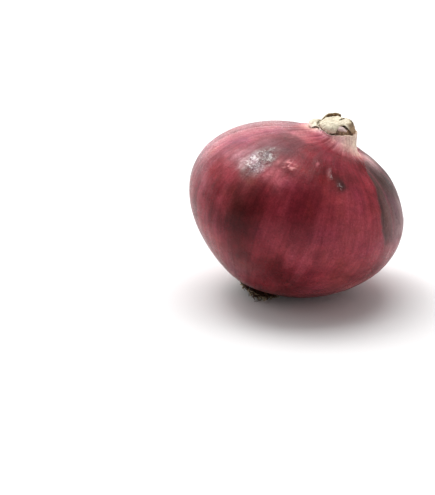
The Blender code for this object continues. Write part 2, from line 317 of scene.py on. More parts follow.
def ragged(th):
    """How far the torn rim of the neck's outer skin stands above or below its mean."""
    c, s = np.cos(th), np.sin(th)
    notch = -0.22 * np.exp(-(wrapped(np.degrees(th) - 316) / 7.0) ** 2) - 0.25 * np.exp(-(wrapped(np.degrees(th) - 120) / 6.0) ** 2) + 0.22 * np.exp(-(wrapped(np.degrees(th) - 344) / 16.0) ** 2)
    lift = 0.62 * np.exp(-(wrapped(np.degrees(th) - 188) / 26.0) ** 2) + 0.30 * np.exp(-(wrapped(np.degrees(th) - 222) / 14.0) ** 2) + 0.24 * np.exp(-(wrapped(np.degrees(th) - 286) / 20.0) ** 2)
    return 0.10 * fbm(5 * c, 5 * s, 0, 2, 201) + 0.05 * noise3(16 * c, 16 * s, 0, 203) + notch + lift


def body_points(r, z, th):
    x, y, z = lopsided(r * np.cos(th), r * np.sin(th), z)
    x, y, z = leaned(x, y, z)
    return np.stack([x, y, z], -1) + SHIFT


P = body_points(line[:, :1] + 0 * TH, line[:, 1:] + 0 * TH, theta[None, :] + 0 * TH)
P[..., 2] += ragged(theta)[None, :] * ease(20.3, SHEATH_TOP - 0.1, line[:, 1:])


def grid_normals(P):
    du = np.roll(P, -1, 1) - np.roll(P, 1, 1)
    dv = np.gradient(P, axis=0)
    n = np.cross(du, dv)
    n /= np.linalg.norm(n, axis=-1, keepdims=True) + 1e-12
    return n


N = grid_normals(P)
ct, st = np.cos(theta)[None, :], np.sin(theta)[None, :]


def around(k, kz, octaves=3, seed=0, twist=0.0, gain=0.5):
    """Noise that runs round the bulb k times as fine as along it kz."""
    t = theta[None, :] + twist * (SS - 0.5)
    return fbm(k * np.cos(t), k * np.sin(t), kz * SS, octaves, seed, gain)


def spot(th0, s0, dth, ds, tilt=0.0, edge=1.0):
    """A soft oval mark round (th0, s0) on the skin; sizes are half widths in degrees and in arc."""
    a = wrapped(TH - th0) / dth
    b = (SS - s0) / ds
    c, s = math.cos(tilt), math.sin(tilt)
    a, b = a * c + b * s, -a * s + b * c
    return np.clip(1.0 - (a * a + b * b) ** (0.5 * edge), 0.0, 1.0)


# long soft waves of the flesh under the skin
relief = 0.16 * around(1.3, 2.2, 2, 3) * ease(0.05, 0.2, SS) * (1 - ease(0.86, 0.95, SS))
# lengthwise ribs of the outer scale
ribs = around(7.0, 1.2, 2, 11, twist=0.25)
relief += 0.055 * ribs * ease(0.08, 0.22, SS)
fine_ribs = 1.0 - np.abs(around(19.0, 1.6, 2, 23, twist=0.2)) * 2.0
relief += 0.018 * fine_ribs * ease(0.08, 0.2, SS)
# the skin gathers into pleats at the neck
pleat = np.sin(np.radians(TH) * 31 + 2.4 * around(2.0, 1.0, 2, 31)) * 0.6 + np.sin(np.radians(TH) * 17 + 3.0 * around(1.5, 1.5, 2, 37)) * 0.7
relief += 0.095 * pleat * ease(0.84, 0.985, SS)
# the dry outer skin is puffed up beside the neck, on the left
puffed = np.interp(SS, [0.86, 0.88, 0.90, 0.925, 0.945, 0.958, 0.968, 0.976], [0.0, 0.10, 0.45, 0.84, 0.98, 0.85, 0.50, 0.18])
relief += puffed * np.exp(-(np.clip(np.abs(wrapped(TH - 168)) - 24, 0, 180) / 28) ** 2)
# and it slopes up to the neck at the front
relief += 0.50 * np.exp(-(wrapped(TH + 84) / 46) ** 2 - ((SS - 0.956) / 0.020) ** 2)
# the shoulder and the flank bulge a little on the neck's own side, with a dip at the neck's foot
flank = 0.58 * np.exp(-((SS - 0.757) / 0.085) ** 2) + 0.30 * np.exp(-((SS - 0.615) / 0.07) ** 2)
relief += flank * np.exp(-(wrapped(TH - 6) / 42) ** 2)
relief += -0.66 * np.exp(-((SS - 0.912) / 0.045) ** 2) * np.exp(-(wrapped(TH - 32) / 48) ** 2)
# the lower skin sags over the root plate at the front left
relief += 0.88 * np.exp(-(wrapped(TH + 111) / 31) ** 2 - ((SS - 0.212) / 0.062) ** 2)
# puckers round the root plate
pucker = np.sin(np.radians(TH) * 23 + 2.2 * around(2.0, 3.0, 2, 41))
relief += 0.10 * pucker * (1 - ease(0.06, 0.17, SS))

# dry crinkled patches, which also catch the light
crinkle = np.maximum.reduce([
    1.50 * spot(-135.5, 0.712, 12.0, 0.088, 0.0),
    0.50 * spot(-142.5, 0.683, 5, 0.05, 0.0),
    0.30 * spot(-130, 0.795, 12, 0.03, 0.0),
    0.62 * spot(-116.0, 0.755, 8.0, 0.030),
    0.16 * spot(-96, 0.822, 4.5, 0.022),
    0.66 * spot(-82, 0.79, 4.0, 0.040),
    0.66 * spot(-74, 0.752, 5.0, 0.032),
    0.6 * spot(60, 0.70, 16, 0.06, 0.3),
    0.6 * spot(140, 0.62, 14, 0.07, -0.4),
    0.5 * spot(20, 0.76, 9, 0.04),
])
wx, wy, wz = P[..., 0], P[..., 1], P[..., 2]
crinkle = np.clip(crinkle * (1.15 + 1.4 * fbm(wx * 0.6, wy * 0.6, wz * 0.6, 3, 49)), 0, 1) ** 1.2
cr = fbm(wx * 1.15, wy * 1.15, wz * 1.15, 3, 51)
cr2 = 1 - 2 * np.abs(fbm(wx * 0.8, wy * 0.8, wz * 0.8, 3, 57))
relief += crinkle * (0.045 * cr + 0.020 * (cr2 - 0.5)) * (1 - 0.8 * spot(-90, 0.76, 40, 0.20))
# a faint pebble all over
relief += 0.012 * fbm(wx * 0.6, wy * 0.6, wz * 0.6, 3, 61)

# torn edges of the outermost papery skin: the skin is thicker inside them
edge_th = np.interp(SS, [0.50, 0.57, 0.62, 0.66, 0.75, 0.82, 0.88, 0.92], [-34.0, -38.5, -42.0, -42.5, -39.9, -37.0, -26.5, -8.0])
edge_th = edge_th + 0.9 * noise3(SS * 22, 0, 0, 71) + 0.35 * noise3(SS * 90, 0, 0, 73)
edge_far = np.interp(SS, [0.50, 0.62, 0.75, 0.86, 0.92], [58.0, 52.0, 47.0, 38.0, 22.0]) + 2.0 * noise3(SS * 26, 3, 0, 75)
inside = ease(-1.0, 2.6, wrapped(TH - edge_th)) * (1 - ease(-1.6, 0, wrapped(TH - edge_far)))
ragged_low = ease(-22, -2, wrapped(TH))
low_s = SS + 0.03 * noise3(TH * 0.12, 0, 0, 77) + 0.010 * ragged_low * noise3(TH * 0.55, 0, 0, 78) - 0.02 * np.exp(-(wrapped(TH - 20) / 26) ** 2)
inside = inside * ease(0.565 + 0.020 * ragged_low, 0.626 - 0.024 * ragged_low, low_s) * (1 - ease(0.885, 0.915, SS + 0.012 * noise3(TH * 0.1, 0, 0, 79)))
bare = inside
relief += -0.10 * bare

P = P + N * relief[..., None]
N = grid_normals(P)

# the flat spot that it rests on
flat = P[..., 2]
P[..., 2] = np.where(flat < 0.25, np.maximum(0.0, 0.25 * np.clip(flat / 0.25, 0, 1) ** 1.6), flat)

# ------------------------------------------------------------------ bulb skin: colour, painted by rule over the skin
deep = (0.105, 0.0045, 0.0075)
wine = (0.160, 0.0120, 0.0200)
crimson = (0.240, 0.0260, 0.0370)
blood = (0.200, 0.0075, 0.0150)
rose = (0.340, 0.0620, 0.0830)
lilac = (0.460, 0.1800, 0.2150)
mauve = (0.280, 0.0800, 0.0950)
ash = (0.460, 0.3600, 0.3450)
umber = (0.110, 0.0420, 0.0380)
slate = (0.120, 0.0500, 0.0480)
olive = (0.130, 0.0740, 0.0600)
salmon = (0.480, 0.1350, 0.1350)
pink = (0.580, 0.2000, 0.2200)
tan = (0.560, 0.3500, 0.2700)
cream = (0.700, 0.5900, 0.4300)
brown = (0.070, 0.0280, 0.0180)

broad = around(1.7, 2.2, 4, 101, twist=0.5)
streaks = around(9.0, 1.3, 4, 113, twist=0.22)
strand = around(20.0, 2.4, 3, 119, twist=0.22)
thin = around(44.0, 3.0, 3, 127, twist=0.22)
mottle = fbm(wx * 0.22, wy * 0.22, wz * 0.22, 4, 131)
grain = fbm(wx * 0.75, wy * 0.75, wz * 0.75, 3, 139)

# marks are smudged along and across the skin, so that none has a clean outline
smudge_th = 5.0 * fbm(wx * 0.30, wy * 0.30, wz * 0.30, 3, 143) + 2.2 * strand
smudge_s = 0.030 * fbm(wx * 0.25, wy * 0.25, wz * 0.25, 3, 147) + 0.012 * streaks
TH_plain, SS_plain = TH, SS


def mark(th0, s0, dth, ds, colour, weight, tilt=0.0, broken=0.35):
    """Lays a soft patch of a colour on the skin; broken makes it follow the streaks."""
    global tone
    a = wrapped(TH_plain + smudge_th - th0) / dth
    b = (SS_plain + smudge_s - s0) / ds
    c, s = math.cos(tilt), math.sin(tilt)
    a, b = a * c + b * s, -a * s + b * c
    w = np.exp(-1.1 * (a * a + b * b) ** 1.25)
    w = w * np.clip(1.0 + broken * (1.6 * streaks + 0.9 * strand + 0.8 * mottle), 0.0, 1.35)
    tone = mix(tone, colour, np.clip(w * weight, 0, 1))


# the ground colour: crimson, clouded and streaked along the bulb
tone = mix(wine, crimson, ease(-0.55, 0.25, broad * 0.5 + streaks * 0.55 + mottle * 0.5))
tone = mix(tone, rose, 0.55 * ease(0.0, 0.7, streaks * 0.6 + strand * 0.5 - broad * 0.4 + mottle * 0.3))

# rosy upper left and the lighter belly on the right
mark(-168, 0.67, 16, 0.15, (0.37, 0.085, 0.110), 0.75)
mark(-160, 0.84, 34, 0.08, (0.31, 0.080, 0.095), 0.75)
mark(-128, 0.69, 16, 0.05, (0.36, 0.070, 0.090), 0.7)
mark(-60, 0.60, 17, 0.13, (0.30, 0.044, 0.060), 0.65)
mark(-100, 0.50, 13, 0.06, (0.25, 0.036, 0.050), 0.55)
mark(-52, 0.38, 15, 0.13, (0.33, 0.058, 0.068), 0.6)
# salmon low on the right: partly the skin's own colour, partly painted light along the lower right rim
mark(-33, 0.36, 12, 0.09, salmon, 0.5)
mark(-48, 0.77, 8, 0.12, (0.30, 0.030, 0.042), 0.6)
mark(-118, 0.29, 14, 0.055, (0.24, 0.075, 0.085), 0.6)
mark(-136, 0.22, 16, 0.06, (0.38, 0.20, 0.20), 0.5)
# lilac strokes high on the left
mark(-151, 0.70, 3.5, 0.075, lilac, 0.75, 0.18)
mark(-164, 0.71, 3.0, 0.10, lilac, 0.55, 0.10)
mark(-158, 0.62, 2.6, 0.05, lilac, 0.45, 0.10)
mark(-157, 0.585, 7, 0.035, (0.165, 0.006, 0.010), 0.85)
mark(-144, 0.590, 6, 0.035, (0.33, 0.036, 0.052), 0.8)

# the paler, rosy rim at the upper left: partly rosy skin, partly painted reflection of the bright surroundings
mark(-174, 0.64, 13, 0.10, (0.50, 0.130, 0.170), 0.80)
mark(-178, 0.76, 17, 0.085, (0.48, 0.125, 0.155), 0.80)
mark(176, 0.85, 26, 0.05, (0.44, 0.120, 0.140), 0.80)

# the dark clouds; low on the left flank they are partly deep maroon skin and partly painted shade
mark(-120, 0.49, 11, 0.12, (0.060, 0.0028, 0.0040), 0.85, 0.0, 0.2)
mark(-118, 0.375, 9, 0.06, (0.085, 0.005, 0.008), 0.6)
mark(-128, 0.56, 10, 0.05, (0.070, 0.014, 0.012), 0.7)
mark(-94, 0.37, 17, 0.075, deep, 0.8, 0.0, 0.2)
mark(-92, 0.67, 7, 0.11, (0.135, 0.0085, 0.015), 0.7)
mark(-106, 0.60, 8, 0.10, wine, 0.5)
mark(-91, 0.80, 19, 0.055, (0.165, 0.006, 0.012), 0.85)
mark(-112, 0.88, 18, 0.028, (0.150, 0.013, 0.017), 0.7)
mark(-60, 0.905, 32, 0.022, (0.170, 0.028, 0.032), 0.6)
mark(-36, 0.870, 13, 0.05, (0.120, 0.008, 0.010), 0.9)
mark(-74, 0.755, 5, 0.034, (0.080, 0.022, 0.022), 1.0, 0.0, 0.15)
mark(-88, 0.22, 34, 0.075, (0.170, 0.012, 0.014), 0.6)
mark(-66, 0.80, 6, 0.03, (0.15, 0.020, 0.024), 0.5)

# lighter places between the clouds
mark(-119, 0.680, 8, 0.030, (0.46, 0.090, 0.115), 0.85)
mark(-74, 0.495, 9, 0.05, (0.38, 0.058, 0.078), 0.75)
mark(-134, 0.915, 18, 0.020, (0.46, 0.085, 0.100), 0.8)
mark(-152, 0.900, 16, 0.022, (0.56, 0.180, 0.200), 0.8)
# pale pink along the right shoulder's rim: partly pink skin, partly painted rim highlight
mark(-3, 0.892, 17, 0.038, (0.78, 0.480, 0.480), 0.95, 0.0, 0.2)
mark(-4, 0.840, 8, 0.018, (0.36, 0.170, 0.180), 0.8)

# dry grey and olive skin round the crinkled places; the whitish patch and the pale pink streaks there are partly
# painted highlight
mark(-131, 0.835, 12, 0.045, (0.150, 0.020, 0.030), 0.75, 0.15)
mark(-143, 0.785, 10, 0.045, (0.130, 0.050, 0.056), 0.70, 0.1, 0.6)
mark(-146, 0.86, 16, 0.025, umber, 0.6)
mark(-134, 0.800, 10, 0.026, (0.150, 0.048, 0.056), 0.75, 0.0, 0.5)
mark(-147, 0.775, 9, 0.035, (0.30, 0.105, 0.125), 0.6)
# whitish grey over the main crinkled place: partly dry flaking skin, partly painted highlight
patch = np.clip(spot(-135.5, 0.712, 13.5, 0.100) * (1.5 + 1.3 * grain + 0.9 * strand + 0.5 * streaks), 0, 1)
tone = mix(tone, (0.33, 0.255, 0.245), 0.92 * ease(0.10, 0.95, patch))
# a pale pink streak: painted highlight
mark(-140.5, 0.684, 3.0, 0.040, (0.60, 0.37, 0.38), 0.6, 0.1, 0.7)
mark(-135, 0.640, 5.5, 0.022, (0.135, 0.062, 0.058), 0.6)
mark(-134, 0.625, 6, 0.030, (0.200, 0.072, 0.072), 0.45)
mark(-115.5, 0.752, 7.0, 0.018, (0.36, 0.040, 0.060), 0.75, 0.0, 0.3)
# another pale pink streak: painted highlight
mark(-145, 0.676, 2.4, 0.045, (0.62, 0.36, 0.38), 0.65, 0.1, 0.7)
mark(-80, 0.775, 8, 0.045, (0.095, 0.009, 0.013), 0.6)
mark(-82, 0.79, 2.4, 0.028, mauve, 0.6)
mark(-101, 0.804, 7, 0.030, (0.185, 0.006, 0.014), 0.75)
mark(-110, 0.855, 10, 0.040, (0.190, 0.008, 0.016), 0.6)
mark(-146, 0.585, 6, 0.040, (0.36, 0.052, 0.070), 0.6)
mark(-156, 0.585, 6, 0.040, (0.26, 0.026, 0.036), 0.55)
mark(-121, 0.672, 10, 0.034, (0.52, 0.130, 0.155), 0.5)
# a pale pink streak on a crinkled place: painted highlight
mark(-121.0, 0.749, 6.0, 0.019, (0.74, 0.250, 0.270), 0.85, 0.0, 0.9)
# a pale pink dot: painted highlight
mark(-97, 0.806, 1.6, 0.008, (0.62, 0.150, 0.180), 0.9, 0.0, 0.0)
mark(-74, 0.752, 3.5, 0.022, (0.055, 0.012, 0.013), 0.8, 0.0, 0.1)
mark(-85, 0.350, 14, 0.050, (0.070, 0.003, 0.005), 0.55)
mark(-105, 0.338, 8, 0.040, (0.095, 0.010, 0.012), 0.5)
mark(-136, 0.870, 10, 0.030, (0.170, 0.030, 0.042), 0.6)
mark(-80, 0.285, 9, 0.035, (0.100, 0.0035, 0.006), 0.7)

# bright pink specks on the crinkled place: painted highlight
tone = mix(tone, (0.90, 0.330, 0.350), 0.85 * np.clip(spot(-116.0, 0.754, 7.0, 0.030) * 1.7 * ease(-0.05, 0.40, noise3(wx * 2.3, wy * 2.3, wz * 2.3, 65)), 0, 1))
# more painted shade over deep maroon skin, low on the left flank
mark(-125, 0.500, 9, 0.070, (0.040, 0.0015, 0.002), 0.6, 0.0, 0.3)
mark(-117, 0.390, 8, 0.050, (0.070, 0.006, 0.008), 0.4, 0.0, 0.3)
# pale pink along the right shoulder's rim: partly pink skin, partly painted rim highlight
mark(0, 0.897, 13, 0.024, (0.76, 0.500, 0.500), 0.85, 0.0, 0.2)
mark(-32, 0.560, 7, 0.050, (0.40, 0.150, 0.165), 0.5)
mark(-43, 0.565, 6, 0.045, (0.38, 0.080, 0.096), 0.45)

# the same kinds of mark round the back
mark(150, 0.62, 20, 0.11, rose, 0.6)
mark(128, 0.76, 20, 0.06, umber, 0.7, 0.2)
mark(112, 0.52, 16, 0.13, deep, 0.7)
mark(96, 0.80, 14, 0.06, (0.165, 0.006, 0.012), 0.7)
mark(76, 0.62, 16, 0.12, rose, 0.6)
mark(60, 0.72, 9, 0.06, (0.32, 0.22, 0.21), 0.75)
mark(84, 0.36, 22, 0.10, (0.32, 0.055, 0.065), 0.6)
mark(165, 0.40, 20, 0.12, wine, 0.7)
mark(30, 0.38, 24, 0.12, (0.27, 0.036, 0.048), 0.6)
mark(-10, 0.33, 20, 0.10, (0.26, 0.040, 0.050), 0.6)
mark(130, 0.88, 30, 0.03, (0.150, 0.013, 0.017), 0.6)
mark(175, 0.56, 4, 0.08, lilac, 0.5, 0.1)
mark(52, 0.60, 4, 0.09, lilac, 0.4, -0.1)

# white flecks where the crinkled skin has lifted, partly painted highlight
lift = ease(0.10, 0.55, fbm(wx * 1.5, wy * 1.5, wz * 1.5, 2, 171)) * crinkle
tone = mix(tone, ash, 0.25 * lift)
dry = np.clip(np.maximum.reduce([
    spot(-136, 0.735, 16, 0.08) * 1.0,
    spot(-140, 0.815, 18, 0.08) * 1.1,
    spot(-74, 0.765, 7, 0.04) * 1.2,
    spot(128, 0.76, 22, 0.08) * 1.5,
    spot(60, 0.72, 12, 0.07) * 1.4,
]), 0, 1)

# the bare band where the outer skin has torn away
bare_tone = mix(slate, (0.165, 0.080, 0.084), 0.8 * np.clip(np.exp(-((wrapped(TH + 24)) / 9.0) ** 2 - ((SS - 0.63) / 0.10) ** 2) * (1 + 0.6 * strand), 0, 1))
bare_tone = mix(bare_tone, olive, 0.6 * np.clip(np.exp(-((wrapped(TH + 32)) / 4.0) ** 2 - ((SS - 0.74) / 0.05) ** 2) * (1 + 0.8 * strand), 0, 1))
bare_tone = mix(bare_tone, (0.046, 0.018, 0.017), 0.85 * np.exp(-(wrapped(TH + 23) / 10.0) ** 2 - ((SS - 0.812) / 0.05) ** 2))
bare_tone = mix(bare_tone, (0.28, 0.165, 0.170), 0.8 * ease(-20, -6, wrapped(TH)) * (1 - ease(0.66, 0.73, SS)))
bare_tone = mix(bare_tone, (0.052, 0.036, 0.033), 0.93 * np.exp(-(wrapped(TH + 8) / 19.0) ** 2 - ((SS - 0.770) / 0.048) ** 2))
# pale pink along the right shoulder's rim: partly pink skin, partly painted rim highlight
bare_tone = mix(bare_tone, (0.70, 0.430, 0.440), 0.95 * np.exp(-(wrapped(TH - 1) / 17.0) ** 2 - ((SS - 0.872) / 0.046) ** 2))
bare_tone = mix(bare_tone, (0.38, 0.200, 0.215), 0.75 * np.exp(-(wrapped(TH + 18) / 9.0) ** 2 - ((SS - 0.58) / 0.07) ** 2))
bare_tone = mix(bare_tone, mauve, 0.45 * ease(0.1, 0.7, streaks + 0.5 * thin))
tone = mix(tone, bare_tone, np.clip(bare * (1.0 + 0.15 * streaks), 0, 1) * 0.96)
tone = mix(tone, (0.040, 0.012, 0.011), 0.70 * bare * (1 - ease(0, 5, wrapped(TH - edge_th))) * (1 - ease(0.80, 0.86, SS)))

# towards the neck the skin turns pink, then tan and cream, sooner on the right; at the root it turns brown
left = np.exp(-(wrapped(TH - 168) / 36) ** 2)
right = np.exp(-(wrapped(TH + 8) / 46) ** 2)
front = np.exp(-(wrapped(TH + 126) / 28) ** 2)
lift_up = SS + 0.032 * left + 0.036 * right - 0.020 * front + 0.005 * streaks + 0.003 * strand + 0.002 * thin
up = ease(0.905, 0.950, lift_up)
tone = mix(tone, mix((0.56, 0.150, 0.160), (0.64, 0.230, 0.250), ease(-0.3, 0.3, streaks + 0.4 * thin)), 0.92 * up)
foot = np.exp(-(wrapped(TH + 108) / 30) ** 2)
tone = mix(tone, mix((0.90, 0.570, 0.490), (0.92, 0.500, 0.450), foot), ease(0.930, 0.970, lift_up) * 0.90)
tone = mix(tone, (0.86, 0.700, 0.630), ease(0.955, 0.990, lift_up) * np.clip(0.35 + left, 0, 1) * 0.85)
tone = mix(tone, (0.84, 0.690, 0.520), ease(0.962, 1.00, lift_up) * right * 0.85)
down = 1 - ease(0.085, 0.15, SS + 0.012 * thin + 0.012 * pucker)
tone = mix(tone, umber, 0.55 * (1 - ease(0.12, 0.26, SS + 0.02 * strand)))
tone = mix(tone, brown, 0.8 * down)

# fine streaking and clouding of the whole
shade = 1.0 + 0.17 * strand + 0.12 * thin + 0.26 * mottle + 0.22 * grain
tone = tone * np.clip(shade, 0.5, 1.6)[..., None]
tone = np.clip(tone, 0.002, 0.95)

# ------------------------------------------------------------------ bulb skin: over the rim of the neck into the groove, and up the dry stub inside
in_line = np.array([
    (4.27, 21.33), (4.17, 21.37), (4.06, 21.33), (4.00, 21.20), (3.90, 21.12), (3.75, 21.04), (3.55, 21.00), (3.36, 21.02), (3.20, 21.10), (3.09, 21.25), (3.03, 21.5),
    (3.00, 21.75), (2.98, 22.0), (2.93, 22.2), (2.82, 22.38), (2.62, 22.5), (2.3, 22.56), (1.9, 22.6), (1.45, 22.6), (1.0, 22.6), (0.6, 22.6), (0.3, 22.6), (0.12, 22.6)])
in_r = in_line[:, :1] + 0 * theta[None, :]
in_z = in_line[:, 1:] + 0 * in_r
stub = ease(7, 12, np.arange(len(in_line), dtype=float))[:, None] * ease(0.1, 1.2, in_r)
crease = np.sin(theta * 13 + 1.7 * noise3(3 * ct, 3 * st, 0, 211)) * 0.6 + 0.5 * np.sin(theta * 29 + 2.0 * noise3(4 * ct, 4 * st, 1, 213))
in_r = in_r + 0.10 * crease * stub + 0.05 * crease * (1 - ease(0, 4, np.arange(len(in_line), dtype=float)))[:, None]
in_z = in_z + 0.16 * fbm(in_r * ct * 1.1, in_r * st * 1.1, 3.0, 3, 217) * stub - 0.25 * ease(0.3, 0.9, np.sin(in_r * 5.2)) * stub * (in_z > 22.3)
P_in = body_points(in_r, in_z, theta[None, :] + 0 * in_r)
P_in[..., 2] += ragged(theta)[None, :] * (1 - ease(0, 6, np.arange(len(in_line), dtype=float)))[:, None]
in_tone = mix((0.80, 0.60, 0.46), (0.66, 0.46, 0.32), ease(1.0, 3.5, np.arange(len(in_line), dtype=float))[:, None] + 0 * in_r)
in_tone = mix(in_tone, (0.460, 0.290, 0.190), ease(3, 5, np.arange(len(in_line), dtype=float))[:, None] + 0 * in_r)
in_tone = mix(in_tone, (0.40, 0.26, 0.165), ease(9, 13, np.arange(len(in_line), dtype=float))[:, None] + 0 * in_r)
in_tone = mix(in_tone, (0.62, 0.50, 0.34), ease(13, 16, np.arange(len(in_line), dtype=float))[:, None] + 0 * in_r)
in_tone = in_tone * (1 + 0.25 * crease + 0.2 * noise3(in_r * ct * 3, in_r * st * 3, in_z * 3, 219))[..., None]

first = P[0]
axis_up = np.array([math.sin(LEAN), 0.0, math.cos(LEAN)])
caps_low = []
for f, dz in ((0.3, 0.95), (0.9, 0.85), (0.985, 0.4)):
    ring = first.mean(0) + (first - first.mean(0)) * f + axis_up * dz
    caps_low.append(ring)
P_all = np.concatenate([np.stack(caps_low), P, P_in])
n_low, n_top = len(caps_low), len(P_in)


def padded(values, low, top):
    """Extends a per-vertex array over the end caps."""
    return np.concatenate([np.broadcast_to(low, (n_low, COLS) + values.shape[2:]), values, np.broadcast_to(top, (n_top, COLS) + values.shape[2:])])


def with_poles(values):
    """Adds the values of the two closing points."""
    flat = values.reshape((-1,) + values.shape[2:])
    return np.concatenate([flat, values[:1, :1].reshape((1,) + values.shape[2:]), values[-1:, :1].reshape((1,) + values.shape[2:])])


skin = grid_object("bulb_skin", P_all * MM, close_u=True, fans=True)
mesh = skin.data
set_colour(mesh, "tone", with_poles(np.concatenate([np.broadcast_to(np.array(brown), (n_low, COLS, 3)), tone, np.clip(in_tone, 0.004, 0.9)])))
SSp = np.concatenate([np.full((n_low, COLS), SS[0, 0]), SS, SS[-1, 0] + 0.004 * np.arange(1, n_top + 1)[:, None] + np.zeros((n_top, COLS))])
tt = np.radians(np.concatenate([np.broadcast_to(TH[0], (n_low, COLS)), TH, np.broadcast_to(TH[-1], (n_top, COLS))])) + 0.22 * (SSp - 0.5)
set_vec(mesh, "grow", with_poles(np.stack([np.cos(tt), np.sin(tt), SSp], -1)))
set_vec(mesh, "wear_and_glint", with_poles(np.stack([padded(crinkle, 0, 0), padded(np.clip(dry + bare * 0.6, 0, 1), 0, 0.8), padded(np.clip(up, 0, 1), 0, 1)], -1)))

# ------------------------------------------------------------------ bulb skin: material
m = Nodes("shallot_skin")
tone_n = m.attribute("tone")
grow = m.attribute("grow").outputs["Vector"]
wear_and_glint = m.node("ShaderNodeSeparateXYZ")
m.link(m.attribute("wear_and_glint").outputs["Vector"], wear_and_glint.inputs[0])
crk, dryness, paleness = wear_and_glint.outputs[0], wear_and_glint.outputs[1], wear_and_glint.outputs[2]
pos = m.node("ShaderNodeTexCoord").outputs["Object"]

vein = m.noise(m.scaled(grow, 30, 30, 6.0), 1.0, 4.0, 0.6)
vein_fine = m.noise(m.scaled(grow, 95, 95, 14.0), 1.0, 3.0, 0.6)
speck = m.noise(pos, 2300.0, 3.0, 0.62)
blotch = m.noise(pos, 420.0, 5.0, 0.62)
tint = m.noise(pos, 150.0, 4.0, 0.6)
wrinkle = m.noise(pos, 1250.0, 4.0, 0.62, 0.9)

c = tone_n.outputs["Color"]
calm = m.math("SUBTRACT", 1.0, m.math("MULTIPLY", paleness, 0.75))
c = m.mix_colour(m.math("MULTIPLY", m.remap(vein, 0.46, 0.68, 0.0, 0.38), calm), c, m.mix_colour(1.0, c, (0.62, 0.50, 0.54), "MULTIPLY"))
c = m.mix_colour(m.math("MULTIPLY", m.remap(vein_fine, 0.50, 0.74, 0.0, 0.46), calm), c, m.mix_colour(1.0, c, (1.25, 1.55, 1.50), "MULTIPLY"))
c = m.mix_colour(m.remap(tint, 0.50, 0.72, 0.0, 0.60), c, m.mix_colour(1.0, c, (0.92, 0.80, 1.12), "MULTIPLY"))
c = m.mix_colour(m.remap(tint, 0.48, 0.28, 0.0, 0.60), c, m.mix_colour(1.0, c, (1.06, 1.12, 0.78), "MULTIPLY"))
c = m.mix_colour(m.remap(blotch, 0.52, 0.74, 0.0, 0.50), c, m.mix_colour(1.0, c, (0.60, 0.56, 0.58), "MULTIPLY"))
c = m.mix_colour(m.remap(blotch, 0.48, 0.28, 0.0, 0.50), c, m.mix_colour(1.0, c, (1.30, 1.50, 1.46), "MULTIPLY"))
c = m.mix_colour(m.remap(speck, 0.50, 0.70, 0.0, 0.55), c, m.mix_colour(1.0, c, (0.66, 0.58, 0.60), "MULTIPLY"))
c = m.mix_colour(m.remap(speck, 0.50, 0.32, 0.0, 0.50), c, m.mix_colour(1.0, c, (1.28, 1.60, 1.55), "MULTIPLY"))
# pale on the raised crinkles: partly whitish flakes, partly painted highlight; darker in the pits between them:
# painted shade
lifted = m.math("MULTIPLY", m.remap(wrinkle, 0.50, 0.62), m.remap(crk, 0.15, 1.0, 0.0, 0.9))
sunk_shade = m.math("MULTIPLY", m.remap(wrinkle, 0.47, 0.37), m.remap(crk, 0.10, 1.0, 0.0, 0.55))
pale = m.mix_colour(0.60, (0.90, 0.86, 0.84), m.mix_colour(1.0, c, (1.9, 2.4, 2.3), "MULTIPLY"))
c = m.mix_colour(lifted, c, pale)
c = m.mix_colour(sunk_shade, c, m.mix_colour(1.0, c, (0.34, 0.28, 0.28), "MULTIPLY"))
m.link(c, m.shader.inputs["Base Color"])
rough = m.math("ADD", m.math("MULTIPLY", dryness, 0.20), m.remap(blotch, 0.3, 0.7, 0.24, 0.36))
rough = m.math("ADD", rough, m.math("MULTIPLY", paleness, 0.18))
rough = m.math("SUBTRACT", rough, m.math("MULTIPLY", crk, 0.20))
m.link(rough, m.shader.inputs["Roughness"])
m.shader.inputs["IOR"].default_value = 1.225
h = m.math("ADD", m.math("MULTIPLY", vein, 0.5), m.math("MULTIPLY", vein_fine, 0.28))
n1 = m.bump(h, 0.55, 0.00020)
n2 = m.bump(m.math("ADD", m.math("MULTIPLY", speck, 0.5), m.math("MULTIPLY", blotch, 0.8)), 0.6, 0.00012, n1)
n3 = m.bump(m.math("MULTIPLY", wrinkle, m.remap(crk, 0.0, 1.0)), 0.9, 0.00045, n2)
m.link(n3, m.shader.inputs["Normal"])
skin.data.materials.append(m.mat)
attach(skin, "root")
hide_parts("bulb")

# ------------------------------------------------------------------ the dry neck: crumpled paper-thin leaf ends
NECK = body_points(np.array([[0.0]]), np.array([[NECK_TOP]]), np.array([[0.0]]))[0, 0]


